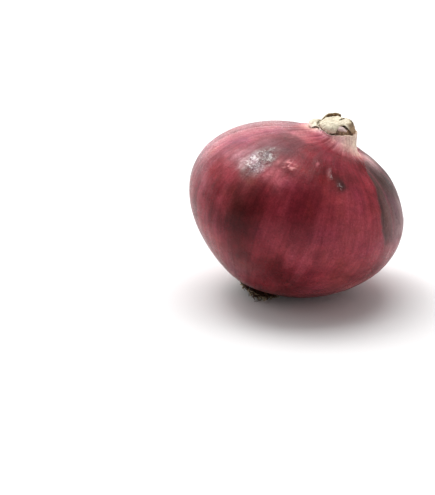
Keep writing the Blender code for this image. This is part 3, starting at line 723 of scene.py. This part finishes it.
def shell_object(name, mid, thick):
    """A closed thin sheet round the middle surface mid[v, u, 3], in millimetres from the neck's end."""
    nv, nu = mid.shape[:2]
    n = np.cross(np.gradient(mid, axis=1), np.gradient(mid, axis=0))
    n /= np.linalg.norm(n, axis=-1, keepdims=True) + 1e-12
    iu, iv = np.arange(nu), np.arange(nv)
    edge = np.minimum.reduce([iu[None, :] + 0 * iv[:, None], (nu - 1 - iu)[None, :] + 0 * iv[:, None], iv[:, None] + 0 * iu[None, :], (nv - 1 - iv)[:, None] + 0 * iu[None, :]])
    half = (thick * np.interp(edge, [0, 1, 2, 4], [0.30, 0.62, 0.85, 1.0]) / 2)[..., None]
    a = np.arange(nv * nu).reshape(nv, nu)
    b = a + nv * nu
    top = np.stack([a[:-1, :-1], a[:-1, 1:], a[1:, 1:], a[1:, :-1]], -1).reshape(-1, 4)
    low = np.stack([b[1:, :-1], b[1:, 1:], b[:-1, 1:], b[:-1, :-1]], -1).reshape(-1, 4)
    e0 = np.stack([a[0, 1:], a[0, :-1], b[0, :-1], b[0, 1:]], -1)
    e1 = np.stack([a[-1, :-1], a[-1, 1:], b[-1, 1:], b[-1, :-1]], -1)
    e2 = np.stack([a[:-1, 0], a[1:, 0], b[1:, 0], b[:-1, 0]], -1)
    e3 = np.stack([a[1:, -1], a[:-1, -1], b[:-1, -1], b[1:, -1]], -1)
    points = np.concatenate([(mid + n * half).reshape(-1, 3), (mid - n * half).reshape(-1, 3)]) + NECK
    return faces_object(name, points * MM, np.concatenate([top, low, e0, e1, e2, e3]))


def through(keys, where, values):
    """Smooth curve through values[k, ...] at keys[k]."""
    keys, values = np.asarray(keys, float), np.asarray(values, float)
    k = np.clip(np.searchsorted(keys, where, side="right") - 1, 0, len(keys) - 2)
    t = np.clip((where - keys[k]) / (keys[k + 1] - keys[k]), 0, 1)
    t = t.reshape(t.shape + (1,) * (values.ndim - 1))
    span = (keys[k + 1] - keys[k]).reshape(t.shape)
    slope = np.gradient(values, keys, axis=0)
    a, b, ma, mb = values[k], values[k + 1], slope[k] * span, slope[k + 1] * span
    return (2 * t ** 3 - 3 * t ** 2 + 1) * a + (t ** 3 - 2 * t ** 2 + t) * ma + (3 * t ** 2 - 2 * t ** 3) * b + (t ** 3 - t ** 2) * mb


def leaf_sheet(keys, lines, nu, nv, reach=None):
    """Sheet whose section (radius, height) at each key angle is given; reach trims its outer edge."""
    turn = np.linspace(keys[0], keys[-1], nu)
    ctrl = through(keys, turn, lines)                                    # [nu, points, 2]
    spread = np.linspace(0, 1, len(lines[0]))
    v = np.linspace(0, 1, nv)[:, None] * (np.ones(nu)[None, :] if reach is None else reach(turn)[None, :])
    out = np.zeros((nv, nu, 2))
    for k in range(nu):
        out[:, k] = through(spread, v[:, k], ctrl[k])
    th = np.radians(turn)[None, :]
    mid = np.stack([out[..., 0] * np.cos(th), out[..., 0] * np.sin(th), out[..., 1]], -1)
    return mid, turn[None, :] + 0 * v, v


def crumple(mid, fold, creases, seed, curl=0.0):
    """Dents a sheet: fold is the height of its soft folds, creases that of its sharp wrinkles."""
    n = np.cross(np.gradient(mid, axis=1), np.gradient(mid, axis=0))
    n /= np.linalg.norm(n, axis=-1, keepdims=True) + 1e-12
    x, y, z = mid[..., 0], mid[..., 1], mid[..., 2]
    wx = x + 0.45 * noise3(x * 0.9, y * 0.9, z * 0.9, seed + 1)
    wy = y + 0.45 * noise3(x * 0.9, y * 0.9, z * 0.9, seed + 2)
    wz = z + 0.45 * noise3(x * 0.9, y * 0.9, z * 0.9, seed + 3)
    soft = fbm(wx * 0.75, wy * 0.75, wz * 0.75, 2, seed + 4)
    sharp = 1 - 2.2 * np.abs(fbm(wx * 1.15, wy * 1.15, wz * 1.15, 3, seed + 5))
    tiny = fbm(wx * 4.2, wy * 4.2, wz * 4.2, 2, seed + 6)
    h = fold * soft + creases * sharp + 0.18 * creases * tiny
    side = np.stack([noise3(x * 1.3, y * 1.3, z * 1.3, seed + 7), noise3(x * 1.3, y * 1.3, z * 1.3, seed + 8), 0 * x], -1) * fold * 0.5
    return mid + n * h[..., None] + side, sharp, soft, tiny


def torn(seed, depth, rough=1.0):
    def reach(turn):
        return 1.0 - depth * (0.5 + 0.5 * fbm(turn * 0.055, 0, seed, 3, seed, 0.6)) - 0.35 * depth * np.clip(noise3(turn * 0.35 * rough, 1, seed, seed + 9), 0, 1)
    return reach


ivory = (0.800, 0.720, 0.560)
ivory_shaded = (0.520, 0.460, 0.330)
straw = (0.600, 0.480, 0.300)
leaf_tan = (0.420, 0.270, 0.150)
leaf_brown = (0.110, 0.058, 0.034)
leaf_dark = (0.035, 0.022, 0.013)
hook_shadow_brown = (0.085, 0.072, 0.040)
blush = (0.760, 0.480, 0.430)


def paper_material(name, rough, gloss_spread, fibre_scale, bump_height):
    m = Nodes(name)
    tone_p = m.attribute("tone")
    leaf = m.attribute("grow").outputs["Vector"]
    pos = m.node("ShaderNodeTexCoord").outputs["Object"]
    fibre = m.noise(m.scaled(leaf, fibre_scale, fibre_scale * 0.16, 1.0), 1.0, 4.0, 0.62)
    fleck = m.noise(pos, 900.0, 4.0, 0.6)
    fine = m.noise(pos, 3600.0, 3.0, 0.6)
    c = tone_p.outputs["Color"]
    c = m.mix_colour(m.remap(fibre, 0.50, 0.72, 0.0, 0.45), c, m.mix_colour(1.0, c, (0.74, 0.66, 0.54), "MULTIPLY"))
    c = m.mix_colour(m.remap(fibre, 0.48, 0.30, 0.0, 0.35), c, m.mix_colour(1.0, c, (1.12, 1.12, 1.12), "MULTIPLY"))
    c = m.mix_colour(m.remap(fleck, 0.56, 0.74, 0.0, 0.40), c, m.mix_colour(1.0, c, (0.70, 0.60, 0.46), "MULTIPLY"))
    m.link(c, m.shader.inputs["Base Color"])
    m.link(m.remap(fleck, 0.3, 0.7, rough - gloss_spread, rough + gloss_spread), m.shader.inputs["Roughness"])
    m.shader.inputs["IOR"].default_value = 1.3
    h = m.math("ADD", m.math("MULTIPLY", fibre, 0.7), m.math("MULTIPLY", fine, 0.35))
    m.link(m.bump(h, 0.7, bump_height), m.shader.inputs["Normal"])
    return m.mat


def finish_sheet(name, mid, thick, colours, leaf_coords, mat, node):
    obj = shell_object(name, mid, thick)
    both = np.concatenate([colours[0].reshape(-1, 3), colours[1].reshape(-1, 3)])
    set_colour(obj.data, "tone", np.clip(both, 0.004, 0.92))
    set_vec(obj.data, "grow", np.concatenate([leaf_coords.reshape(-1, 3)] * 2))
    obj.data.materials.append(mat)
    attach(obj, "root")
    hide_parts(node)
    return obj


ivory_paper = paper_material("neck_paper_ivory", 0.62, 0.10, 26.0, 0.00010)
brown_paper = paper_material("neck_paper_brown", 0.66, 0.10, 30.0, 0.00014)
pink_paper = paper_material("neck_paper_pink", 0.58, 0.10, 26.0, 0.00010)

# the large ivory leaf end, folded over the front left of the neck
cap_keys = [40, 80, 112, 140, 168, 188, 204, 216, 225, 232, 238, 244, 250, 256, 261, 265, 269, 275, 284, 294]
cap_edge_z = [0.95, 0.92, 0.80, 0.52, 0.02, -0.12, -0.26, -0.42, -0.62, -0.86, -1.06, -1.00, -0.88, -0.72, -0.50, -0.12, 0.38, 0.58, 0.68, 0.66]
cap_edge_r = [2.20, 2.75, 3.25, 3.60, 4.00, 4.08, 4.12, 4.14, 4.16, 4.20, 4.22, 4.20, 4.17, 4.12, 4.06, 3.92, 3.52, 3.15, 2.92, 2.75]
cap_lines = []
for er, ez in zip(cap_edge_r, cap_edge_z):
    low = float(np.clip((0.6 - ez) / 1.2, 0, 1))
    cap_lines.append([(0.04, 1.12), (0.36 * er, 1.30), (0.62 * er, 1.33 - 0.03 * low), (0.86 * er, 1.12 - 0.30 * low), (0.97 * er, 0.98 * (1 - low) + 0.16 * low), (er, ez)])
mid, tu, tv = leaf_sheet(cap_keys, cap_lines, 220, 84, torn(301, 0.045))
mid, sharp, soft, tiny = crumple(mid, 0.20, 0.11, 311)
# ivory dimmed along the creases and raised folds: painted crease shade
out_c = mix(ivory, ivory_shaded, 0.75 * ease(0.35, 0.95, sharp * 0.5 + 0.5 * soft + 0.25))
out_c = mix(out_c, straw, 0.45 * ease(0.82, 1.0, tv + 0.06 * soft))
out_c = mix(out_c, blush, 0.40 * np.exp(-((tu - 247) / 13) ** 2 - ((tv - 0.93) / 0.10) ** 2))
# darker in the fold hollows further out: painted shade
out_c = mix(out_c, (0.33, 0.30, 0.19), 0.55 * ease(0.45, 0.8, -soft) * ease(0.3, 0.7, tv))
in_c = mix(mix(leaf_tan, leaf_brown, ease(0.3, 0.9, tv)), straw, ease(262, 274, tu))
finish_sheet("neck_cap", mid[:, ::-1], 0.13 + 0.05 * soft[:, ::-1], (out_c[:, ::-1], in_c[:, ::-1]), np.stack([np.radians(tu) * 2.2, tv, 0 * tv], -1)[:, ::-1], ivory_paper, "neck_fold_front")

# the leaf end that stands behind it, brown inside and pale along its torn edge
back_keys = [78, 92, 110, 130, 146, 156]
back_lines = [
    [(4.00, -0.95), (4.05, -0.20), (4.00, 0.55), (3.92, 1.10), (3.75, 1.45)],
    [(4.00, -0.95), (4.08, -0.10), (4.05, 0.80), (3.90, 1.42), (3.55, 1.82)],
    [(4.00, -0.90), (4.10, 0.00), (4.05, 0.90), (3.85, 1.50), (3.42, 1.88)],
    [(4.00, -0.80), (4.12, 0.10), (4.05, 0.95), (3.85, 1.50), (3.40, 1.86)],
    [(4.02, -0.70), (4.12, 0.05), (4.10, 0.70), (3.95, 1.10), (3.70, 1.35)],
    [(4.05, -0.55), (4.12, -0.10), (4.10, 0.25), (4.05, 0.50), (3.95, 0.66)],
]
mid, tu, tv = leaf_sheet(back_keys, back_lines, 110, 46, torn(331, 0.10))
mid, sharp, soft, tiny = crumple(mid, 0.12, 0.06, 341)
edge_pale = np.clip(ease(0.78, 0.90, tv + 0.05 * sharp) + ease(124, 140, tu), 0, 1)
# tan in the fold hollows and straw on the raised folds: painted fold shade
out_c = mix(mix(leaf_tan, straw, ease(-0.4, 0.5, soft)), ivory, edge_pale)
# inside, darker along the creases: painted crease shade
in_c = mix(mix((0.480, 0.340, 0.200), (0.220, 0.130, 0.070), ease(0.1, 0.9, sharp)), (0.88, 0.80, 0.64), 0.92 * edge_pale)
finish_sheet("neck_back_leaf", mid[:, ::-1], 0.12 + 0.03 * soft, (in_c[:, ::-1], out_c[:, ::-1]), np.stack([np.radians(tu) * 2.2, tv, 0 * tv], -1)[:, ::-1], ivory_paper, "neck_fold_back")

# the ragged leaf end on the right: ivory over the top, brown along its edge
right_keys = [290, 302, 312, 322, 334, 352, 374, 398, 425]
right_lines = [
    [(0.3, 0.84), (1.1, 0.98), (1.7, 0.98), (2.10, 0.90), (2.40, 0.80), (2.58, 0.70)],
    [(0.3, 0.84), (1.2, 0.98), (1.9, 0.98), (2.40, 0.88), (2.75, 0.68), (2.92, 0.50)],
    [(0.3, 0.84), (1.3, 1.00), (2.2, 0.96), (2.80, 0.70), (3.15, 0.20), (3.30, -0.35)],
    [(0.3, 0.84), (1.4, 1.02), (2.4, 0.96), (3.15, 0.50), (3.60, -0.45), (3.72, -1.45)],
    [(0.3, 0.84), (1.4, 1.03), (2.5, 0.98), (3.25, 0.50), (3.72, -0.55), (3.84, -1.75)],
    [(0.3, 0.84), (1.4, 1.04), (2.5, 1.00), (3.25, 0.55), (3.70, -0.50), (3.82, -1.90)],
    [(0.3, 0.84), (1.4, 1.05), (2.5, 1.02), (3.20, 0.66), (3.64, -0.20), (3.74, -1.50)],
    [(0.3, 0.84), (1.4, 1.06), (2.4, 1.04), (3.10, 0.80), (3.52, 0.10), (3.62, -0.90)],
    [(0.3, 0.84), (1.2, 1.02), (2.0, 1.04), (2.60, 0.92), (3.00, 0.55), (3.15, 0.10)],
]
mid, tu, tv = leaf_sheet(right_keys, right_lines, 170, 84, torn(351, 0.16, 1.4))
mid, sharp, soft, tiny = crumple(mid, 0.18, 0.085, 361)
spur = np.exp(-((tu - 352) / 5.0) ** 2 - ((tv - 0.50) / 0.09) ** 2)
mid[..., 2] += 0.42 * spur
# ivory dimmed along the creases and folds: painted crease shade
out_c = mix(ivory, ivory_shaded, 0.8 * ease(0.3, 0.95, sharp * 0.5 + 0.5 * soft + 0.2))
right_side = ease(308, 322, tu)
out_c = mix(out_c, straw, 0.7 * ease(0.34, 0.50, tv + 0.10 * soft) * right_side)
out_c = mix(out_c, (0.20, 0.125, 0.075), 0.9 * ease(0.44, 0.60, tv + 0.10 * soft + 0.05 * sharp) * right_side)
out_c = mix(out_c, leaf_dark, 0.85 * np.exp(-((tu - 346) / 13) ** 2 - ((tv - 0.60) / 0.07) ** 2) * (0.6 + 0.4 * sharp))
out_c = mix(out_c, (0.46, 0.31, 0.19), 0.75 * ease(0.66, 0.80, tv + 0.08 * sharp + 0.05 * soft) * right_side)
out_c = mix(out_c, leaf_brown, 0.6 * (1 - right_side) * ease(0.90, 0.97, tv))
out_c = mix(out_c, (0.24, 0.23, 0.16), 0.8 * spur)
in_c = mix(leaf_tan, leaf_brown, ease(0.2, 0.8, tv))
finish_sheet("neck_right_leaf", mid[:, ::-1], 0.13 + 0.04 * soft[:, ::-1], (out_c[:, ::-1], in_c[:, ::-1]), np.stack([np.radians(tu) * 2.2, tv, 0 * tv], -1)[:, ::-1], brown_paper, "neck_fold_right")

# the loose flap at the left, peeled back on to the shoulder
flap_keys = [140, 150, 163, 177, 190]
flap_lines = [
    [(4.25, -0.50), (4.55, 0.05), (5.00, 0.35), (5.60, 0.35), (6.10, 0.20)],
    [(4.25, -0.45), (4.60, 0.32), (5.20, 0.62), (5.90, 0.58), (6.50, 0.36)],
    [(4.25, -0.40), (4.64, 0.40), (5.35, 0.70), (6.20, 0.60), (6.90, 0.30)],
    [(4.28, -0.40), (4.66, 0.22), (5.25, 0.46), (6.05, 0.30), (6.70, 0.02)],
    [(4.30, -0.50), (4.60, -0.10), (5.05, 0.08), (5.70, -0.05), (6.30, -0.30)],
]
mid, tu, tv = leaf_sheet(flap_keys, flap_lines, 84, 60, torn(371, 0.14, 1.2))
hook = np.exp(-((tv - 0.16 - 0.004 * (183 - tu)) / 0.055) ** 2)
mid[..., 2] -= 0.22 * hook
mid, sharp, soft, tiny = crumple(mid, 0.15, 0.085, 381)
# pale paper dimmed along the creases and folds: painted crease shade
out_c = mix((0.90, 0.82, 0.68), (0.52, 0.45, 0.31), 0.75 * ease(0.1, 0.85, sharp * 0.6 + 0.4 * soft + 0.15))
out_c = mix(out_c, (0.86, 0.62, 0.57), 0.7 * ease(0.60, 0.95, tv))
# the dark line along the hook: painted shadow in the fold
out_c = mix(out_c, hook_shadow_brown, 0.85 * hook)
in_c = mix(leaf_tan, leaf_brown, 0.5 + 0.3 * soft)
finish_sheet("neck_left_flap", mid[:, ::-1], 0.12 + 0.03 * soft[:, ::-1], (out_c[:, ::-1], in_c[:, ::-1]), np.stack([np.radians(tu) * 2.2, tv, 0 * tv], -1)[:, ::-1], ivory_paper, "neck_flap_left")

# the rolled-up tip of an inner leaf in the hollow at the front
nr, na = 60, 64
t = np.linspace(0, 1, nr)
path = through([0, 0.2, 0.45, 0.7, 1.0], t, [(-0.40, -3.10, 0.02), (0.10, -3.30, 0.10), (0.66, -3.38, 0.04), (1.16, -3.26, -0.20), (1.70, -3.00, -0.58)])
girth_r = through([0, 0.08, 0.25, 0.5, 0.75, 1.0], t, [(0.30,), (0.46,), (0.56,), (0.52,), (0.38,), (0.20,)])[:, 0]
tang = np.gradient(path, axis=0)
tang /= np.linalg.norm(tang, axis=1, keepdims=True)
side_v = np.cross(tang, np.array([0.0, 0.0, 1.0]))
side_v /= np.linalg.norm(side_v, axis=1, keepdims=True)
up_r = np.cross(side_v, tang)
ang = np.linspace(0, 2 * np.pi, na, endpoint=False)[None, :]
lip = ((ang[0] / (2 * np.pi) + 0.30) % 1.0)
roll_r = girth_r[:, None] * (0.86 + 0.24 * lip[None, :]) * (1 + 0.06 * np.sin(5 * ang + 4 * t[:, None]) + 0.10 * noise3(2.2 * np.cos(ang), 2.2 * np.sin(ang), 5 * t[:, None], 391))
roll_p = path[:, None] + roll_r[..., None] * (np.cos(ang)[..., None] * side_v[:, None] + np.sin(ang)[..., None] * up_r[:, None])
roll = grid_object("neck_roll_tip", (roll_p + NECK) * MM, close_u=True, fans=True)
streak_r = noise3(3.0 * np.cos(ang), 3.0 * np.sin(ang), 1.5 * t[:, None], 393)
roll_c = mix((0.78, 0.60, 0.56), (0.50, 0.33, 0.26), ease(0.1, 0.7, streak_r))
roll_c = mix(roll_c, leaf_brown, 0.8 * ease(0.985, 1.0, lip)[None, :] + 0 * roll_r)
roll_c = mix(roll_c, leaf_brown, 0.7 * (1 - ease(0.0, 0.10, t))[:, None] + 0 * roll_r)
set_colour(roll.data, "tone", with_poles(np.clip(roll_c, 0.004, 0.9)))
set_vec(roll.data, "grow", with_poles(np.stack([np.cos(ang) + 0 * roll_r, np.sin(ang) + 0 * roll_r, t[:, None] + 0 * roll_r], -1)))
roll.data.materials.append(pink_paper)
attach(roll, "root")
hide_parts("neck_roll")

# ------------------------------------------------------------------ the roots
def earthy_material(name, rough, dark, light):
    m = Nodes(name)
    tone_r = m.attribute("tone")
    pos = m.node("ShaderNodeTexCoord").outputs["Object"]
    clod = m.noise(pos, 1500.0, 5.0, 0.65)
    grit = m.noise(pos, 5200.0, 3.0, 0.6)
    c = tone_r.outputs["Color"]
    c = m.mix_colour(m.remap(clod, 0.50, 0.70, 0.0, 0.7), c, m.mix_colour(1.0, c, (dark, dark * 0.9, dark * 0.85), "MULTIPLY"))
    c = m.mix_colour(m.remap(clod, 0.48, 0.30, 0.0, 0.6), c, m.mix_colour(1.0, c, (light, light, light), "MULTIPLY"))
    c = m.mix_colour(m.remap(grit, 0.62, 0.76, 0.0, 0.28), c, (0.30, 0.20, 0.12))
    m.link(c, m.shader.inputs["Base Color"])
    m.link(m.remap(clod, 0.3, 0.7, rough - 0.12, rough + 0.08), m.shader.inputs["Roughness"])
    m.shader.inputs["IOR"].default_value = 1.3
    h = m.math("ADD", m.math("MULTIPLY", clod, 0.8), m.math("MULTIPLY", grit, 0.3))
    m.link(m.bump(h, 0.9, 0.00022), m.shader.inputs["Normal"])
    return m.mat


POLE_Z = float(fine[0, 1])
RIM_Z = float(np.interp(PLATE_R + GAP, fine[:60, 0], fine[:60, 1]))

# the woody plate, domed and rough, its rim tucked under the skin
cols_p = 120
th_p = np.linspace(0, 2 * np.pi, cols_p, endpoint=False)[None, :]
plate_line = np.array([(0.1, 0.55, 0), (2.2, 0.5, 0), (4.2, 0.35, 0), (5.2, 0.22, 0), (5.42, 0.05, 1), (5.40, -0.12, 1), (5.15, -0.25, 1), (4.7, -0.36, 1), (4.1, -0.44, 1), (3.4, -0.50, 1), (2.7, -0.48, 1), (2.0, -0.42, 1), (1.4, -0.30, 1), (0.9, -0.22, 1), (0.5, -0.18, 1), (0.15, -0.16, 1)])
pr = plate_line[:, :1] + 0 * th_p
pz = RIM_Z + plate_line[:, 1:2] + 0 * th_p + np.where(plate_line[:, 2:3] > 0, (POLE_Z - RIM_Z) * (1 - (np.clip(pr / 5.4, 0, 1)) ** 2), 0)
rough_p = plate_line[:, 2:3] * (0.16 * fbm(pr * np.cos(th_p) * 0.9, pr * np.sin(th_p) * 0.9, 5, 4, 401) + 0.06 * np.cos(pr * 5.5))
plate_p = body_points(pr, pz + rough_p, th_p + 0 * pr)
plate_p[..., 2] = np.maximum(plate_p[..., 2], 0.05)
plate = grid_object("root_plate_rough", plate_p[::-1] * MM, close_u=True, fans=True)
plate_tone = mix((0.050, 0.026, 0.016), (0.120, 0.072, 0.044), ease(-0.2, 0.6, fbm(pr * np.cos(th_p) * 1.4, pr * np.sin(th_p) * 1.4, 7, 3, 403)))
set_colour(plate.data, "tone", with_poles(plate_tone[::-1]))
plate.data.materials.append(earthy_material("root_plate_wood", 0.78, 0.45, 1.7))
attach(plate, "root")
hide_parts("root_plate")

# dried roots: a dense dark fringe of short bent stubs round the plate, with pale broken ends
ROOTS, STEPS, SIDES = 720, 7, 5
i = np.arange(ROOTS)


def rnd(k):
    return 0.5 + 0.5 * _hash(i, np.full(ROOTS, k), np.full(ROOTS, 7), 431)


root_th = 2 * np.pi * (i * 0.61803398875 % 1.0) + 0.15 * (rnd(1) - 0.5)
lane = rnd(2)
near = np.exp(-(wrapped(np.degrees(root_th) + 92) / 42.0) ** 2)                # the side where the fringe is longest
root_r0 = 1.6 + (3.75 + 0.75 * near) * lane ** 0.45
length = (0.85 + 0.95 * rnd(3)) * np.where(rnd(4) > 0.93, 1.3, 1.0)
near_floor = np.clip(np.cos(root_th), 0, 1)
length = length * (1 - 0.35 * near_floor) * (1 + 0.85 * near) * (1 - 0.4 * np.exp(-(wrapped(np.degrees(root_th) + 156) / 28.0) ** 2))
splay = 0.25 + 0.75 * lane + 0.35 * (rnd(5) - 0.5)
twist = (rnd(6) - 0.5) * 0.50
bend = (rnd(7) - 0.3) * 0.8
thick_r = 0.085 + 0.12 * rnd(8) ** 1.5
t = np.linspace(0, 1, STEPS)[None, :]
rr = root_r0[:, None] + length[:, None] * (splay[:, None] * t + 0.35 * bend[:, None] * t ** 2)
base_z = RIM_Z - 0.15 + (POLE_Z - RIM_Z) * (1 - np.clip(root_r0 / 5.4, 0, 1) ** 2)
zz = base_z[:, None] - length[:, None] * ((1.15 - 0.65 * splay[:, None]) * t - 0.45 * bend[:, None] * t ** 2)
tw = root_th[:, None] + twist[:, None] * t ** 1.5 + 0.06 * np.sin(5 * t + 6 * rnd(9)[:, None])
path = body_points(rr, zz, tw)
path = path + 0.05 * np.stack([noise3(i[:, None] * 3.7, 3 * t, 0, 433), noise3(i[:, None] * 3.7, 3 * t, 1, 433), noise3(i[:, None] * 3.7, 3 * t, 2, 433)], -1) * t[..., None]
radius = thick_r[:, None] * np.interp(t, [0, 0.3, 0.8, 1.0], [1.25, 1.0, 0.72, 0.50])
path[..., 2] = np.maximum(path[..., 2], 0.06 + radius)
tan_r = np.gradient(path, axis=1)
tan_r /= np.linalg.norm(tan_r, axis=-1, keepdims=True) + 1e-12
ref = np.where(np.abs(tan_r[..., 2:3]) > 0.9, np.array([1.0, 0, 0]), np.array([0, 0, 1.0]))
sv = np.cross(tan_r, ref)
sv /= np.linalg.norm(sv, axis=-1, keepdims=True) + 1e-12
uv = np.cross(sv, tan_r)
an = np.linspace(0, 2 * np.pi, SIDES, endpoint=False)
ring = radius[..., None, None] * (np.cos(an)[:, None] * sv[:, :, None] + np.sin(an)[:, None] * uv[:, :, None])
ring = ring * (1 + 0.22 * noise3(i[:, None, None] * 2.3, 4 * t[..., None], an[None, None] * 1.1, 437))[..., None]
pts = path[:, :, None] + ring                                           # [root, step, side, 3]
tips = path[:, -1:] + tan_r[:, -1:] * radius[:, -1:, None] * 0.6
feet = path[:, :1] - tan_r[:, :1] * 0.05
block = STEPS * SIDES + 2
local = np.concatenate([pts.reshape(ROOTS, -1, 3), feet, tips], 1)
a = np.arange(STEPS * SIDES).reshape(STEPS, SIDES)
q = np.stack([a[:-1], np.roll(a[:-1], -1, 1), np.roll(a[1:], -1, 1), a[1:]], -1).reshape(-1, 4)
tri = np.concatenate([np.stack([np.roll(a[0], -1), a[0], np.full(SIDES, STEPS * SIDES)], -1), np.stack([a[-1], np.roll(a[-1], -1), np.full(SIDES, STEPS * SIDES + 1)], -1)])
offset = (np.arange(ROOTS) * block)[:, None, None]
tuft = faces_object("root_fringe", local.reshape(-1, 3) * MM, (q[None, :, ::-1] + offset).reshape(-1, 4), (tri[None, :, ::-1] + offset).reshape(-1, 3))
pale_tip = ease(0.66, 1.0, t + 0.25 * (rnd(10)[:, None] - 0.5)) * (rnd(11)[:, None] > 0.35) * (length[:, None] > 1.0)
root_tone = mix((0.038, 0.013, 0.008), (0.130, 0.060, 0.034), rnd(12)[:, None] ** 2 + 0 * t)
root_tone = mix(root_tone, (0.680, 0.560, 0.370), 0.9 * pale_tip)
per_point = np.concatenate([np.repeat(root_tone[:, :, None], SIDES, 2).reshape(ROOTS, -1, 3), root_tone[:, :1], root_tone[:, -1:]], 1)
set_colour(tuft.data, "tone", per_point.reshape(-1, 3))
tuft.data.materials.append(earthy_material("root_fibre_dry", 0.72, 0.55, 1.5))
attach(tuft, "root")
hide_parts("root_tuft")

# ------------------------------------------------------------------ floor, light, camera
bpy.ops.mesh.primitive_plane_add(size=3.0, location=(0, 0, 0))
floor = bpy.context.object
floor.name = "studio_floor"
f = Nodes("studio_floor_paper")
f.shader.inputs["Base Color"].default_value = (0.86, 0.855, 0.855, 1.0)
f.shader.inputs["Roughness"].default_value = 0.85
f.shader.inputs["Specular IOR Level"].default_value = 0.1
floor.data.materials.append(f.mat)


def area_light(name, where, at, size, power, colour=(1, 1, 1), size_y=None):
    data = bpy.data.lights.new(name, "AREA")
    data.shape = "RECTANGLE"
    data.size = size
    data.size_y = size_y or size
    data.energy = power
    data.color = colour
    obj = bpy.data.objects.new(name, data)
    obj.location = where
    obj.rotation_euler = (Vector(at) - Vector(where)).to_track_quat("-Z", "Y").to_euler()
    bpy.context.scene.collection.objects.link(obj)
    return obj


area_light("key_soft", (-0.25, 0.24, 0.55), (0, 0, 0.02), 0.26, KEY)
area_light("top_soft", (-0.025, 0.20, 0.70), (0, 0, 0.02), 0.64, TOP, size_y=0.50)

world = bpy.data.worlds.new("studio")
bpy.context.scene.world = world
world.use_nodes = True
wt = world.node_tree
bg = wt.nodes["Background"]
bg.inputs["Color"].default_value = (1, 1, 1, 1)
coord = wt.nodes.new("ShaderNodeTexCoord")


def dim(direction, start, end, amount):
    """Room side that gives less light: a soft round zone of the surroundings round a direction."""
    d = Vector(direction).normalized()
    dot = wt.nodes.new("ShaderNodeVectorMath")
    dot.operation = "DOT_PRODUCT"
    wt.links.new(coord.outputs["Generated"], dot.inputs[0])
    dot.inputs[1].default_value = d
    r = wt.nodes.new("ShaderNodeMapRange")
    r.interpolation_type = "SMOOTHSTEP"
    wt.links.new(dot.outputs["Value"], r.inputs["Value"])
    r.inputs["From Min"].default_value = math.cos(math.radians(start))
    r.inputs["From Max"].default_value = math.cos(math.radians(end))
    r.inputs["To Min"].default_value = 1.0
    r.inputs["To Max"].default_value = 1.0 - amount
    return r.outputs["Result"]


def times(x, y):
    n = wt.nodes.new("ShaderNodeMath")
    n.operation = "MULTIPLY"
    for k, v in enumerate((x, y)):
        if isinstance(v, (int, float)):
            n.inputs[k].default_value = v
        else:
            wt.links.new(v, n.inputs[k])
    return n.outputs[0]


split = wt.nodes.new("ShaderNodeSeparateXYZ")
wt.links.new(coord.outputs["Generated"], split.inputs[0])
low_band = wt.nodes.new("ShaderNodeMapRange")
low_band.interpolation_type = "SMOOTHSTEP"
wt.links.new(split.outputs[2], low_band.inputs["Value"])
low_band.inputs["From Min"].default_value = 0.05
low_band.inputs["From Max"].default_value = 0.34
low_band.inputs["To Min"].default_value = 1.1
low_band.inputs["To Max"].default_value = WORLD
level = times(dim((0.10, -0.72, 0.69), 46, 20, 0.6), low_band.outputs["Result"])
level = times(level, dim((-0.40, 0.80, 0.45), 62, 26, -BACK))
level = times(level, dim((0.62, 0.78, 0.10), 36, 12, 0.6))
level = times(level, dim((-0.84, -0.50, 0.22), 40, 16, 0.75))
wt.links.new(level, bg.inputs["Strength"])

ELEV = math.radians(20.0)
DIST = 0.60
SCALE = 25.0 / 110.5 * MM        # metres per photo pixel at the bulb
CENTRE_PX = (293.3, 210.7)       # where the middle of the bulb's body lies in the 435 x 495 frame
body_centre = Vector((SHIFT[0], SHIFT[1], SHIFT[2])) * MM
right = Vector((1, 0, 0))
up_v = Vector((0, math.sin(ELEV), math.cos(ELEV)))
back = Vector((0, -math.cos(ELEV), math.sin(ELEV)))
aim = body_centre - right * (CENTRE_PX[0] - 217.5) * SCALE - up_v * (247.5 - CENTRE_PX[1]) * SCALE
cam_data = bpy.data.cameras.new("photo_view")
cam_data.sensor_width = 36.0
cam_data.lens = 36.0 * DIST / (495 * SCALE)
cam_data.clip_start = 0.01
cam_data.clip_end = 10.0
cam = bpy.data.objects.new("photo_view", cam_data)
cam.location = aim + back * DIST
cam.rotation_euler = (aim - cam.location).to_track_quat("-Z", "Y").to_euler()
bpy.context.scene.collection.objects.link(cam)
bpy.context.scene.camera = cam
bpy.context.scene.view_settings.view_transform = "Standard"

# ------------------------------------------------------------------ bring the scene up to date
bpy.context.view_layer.update()
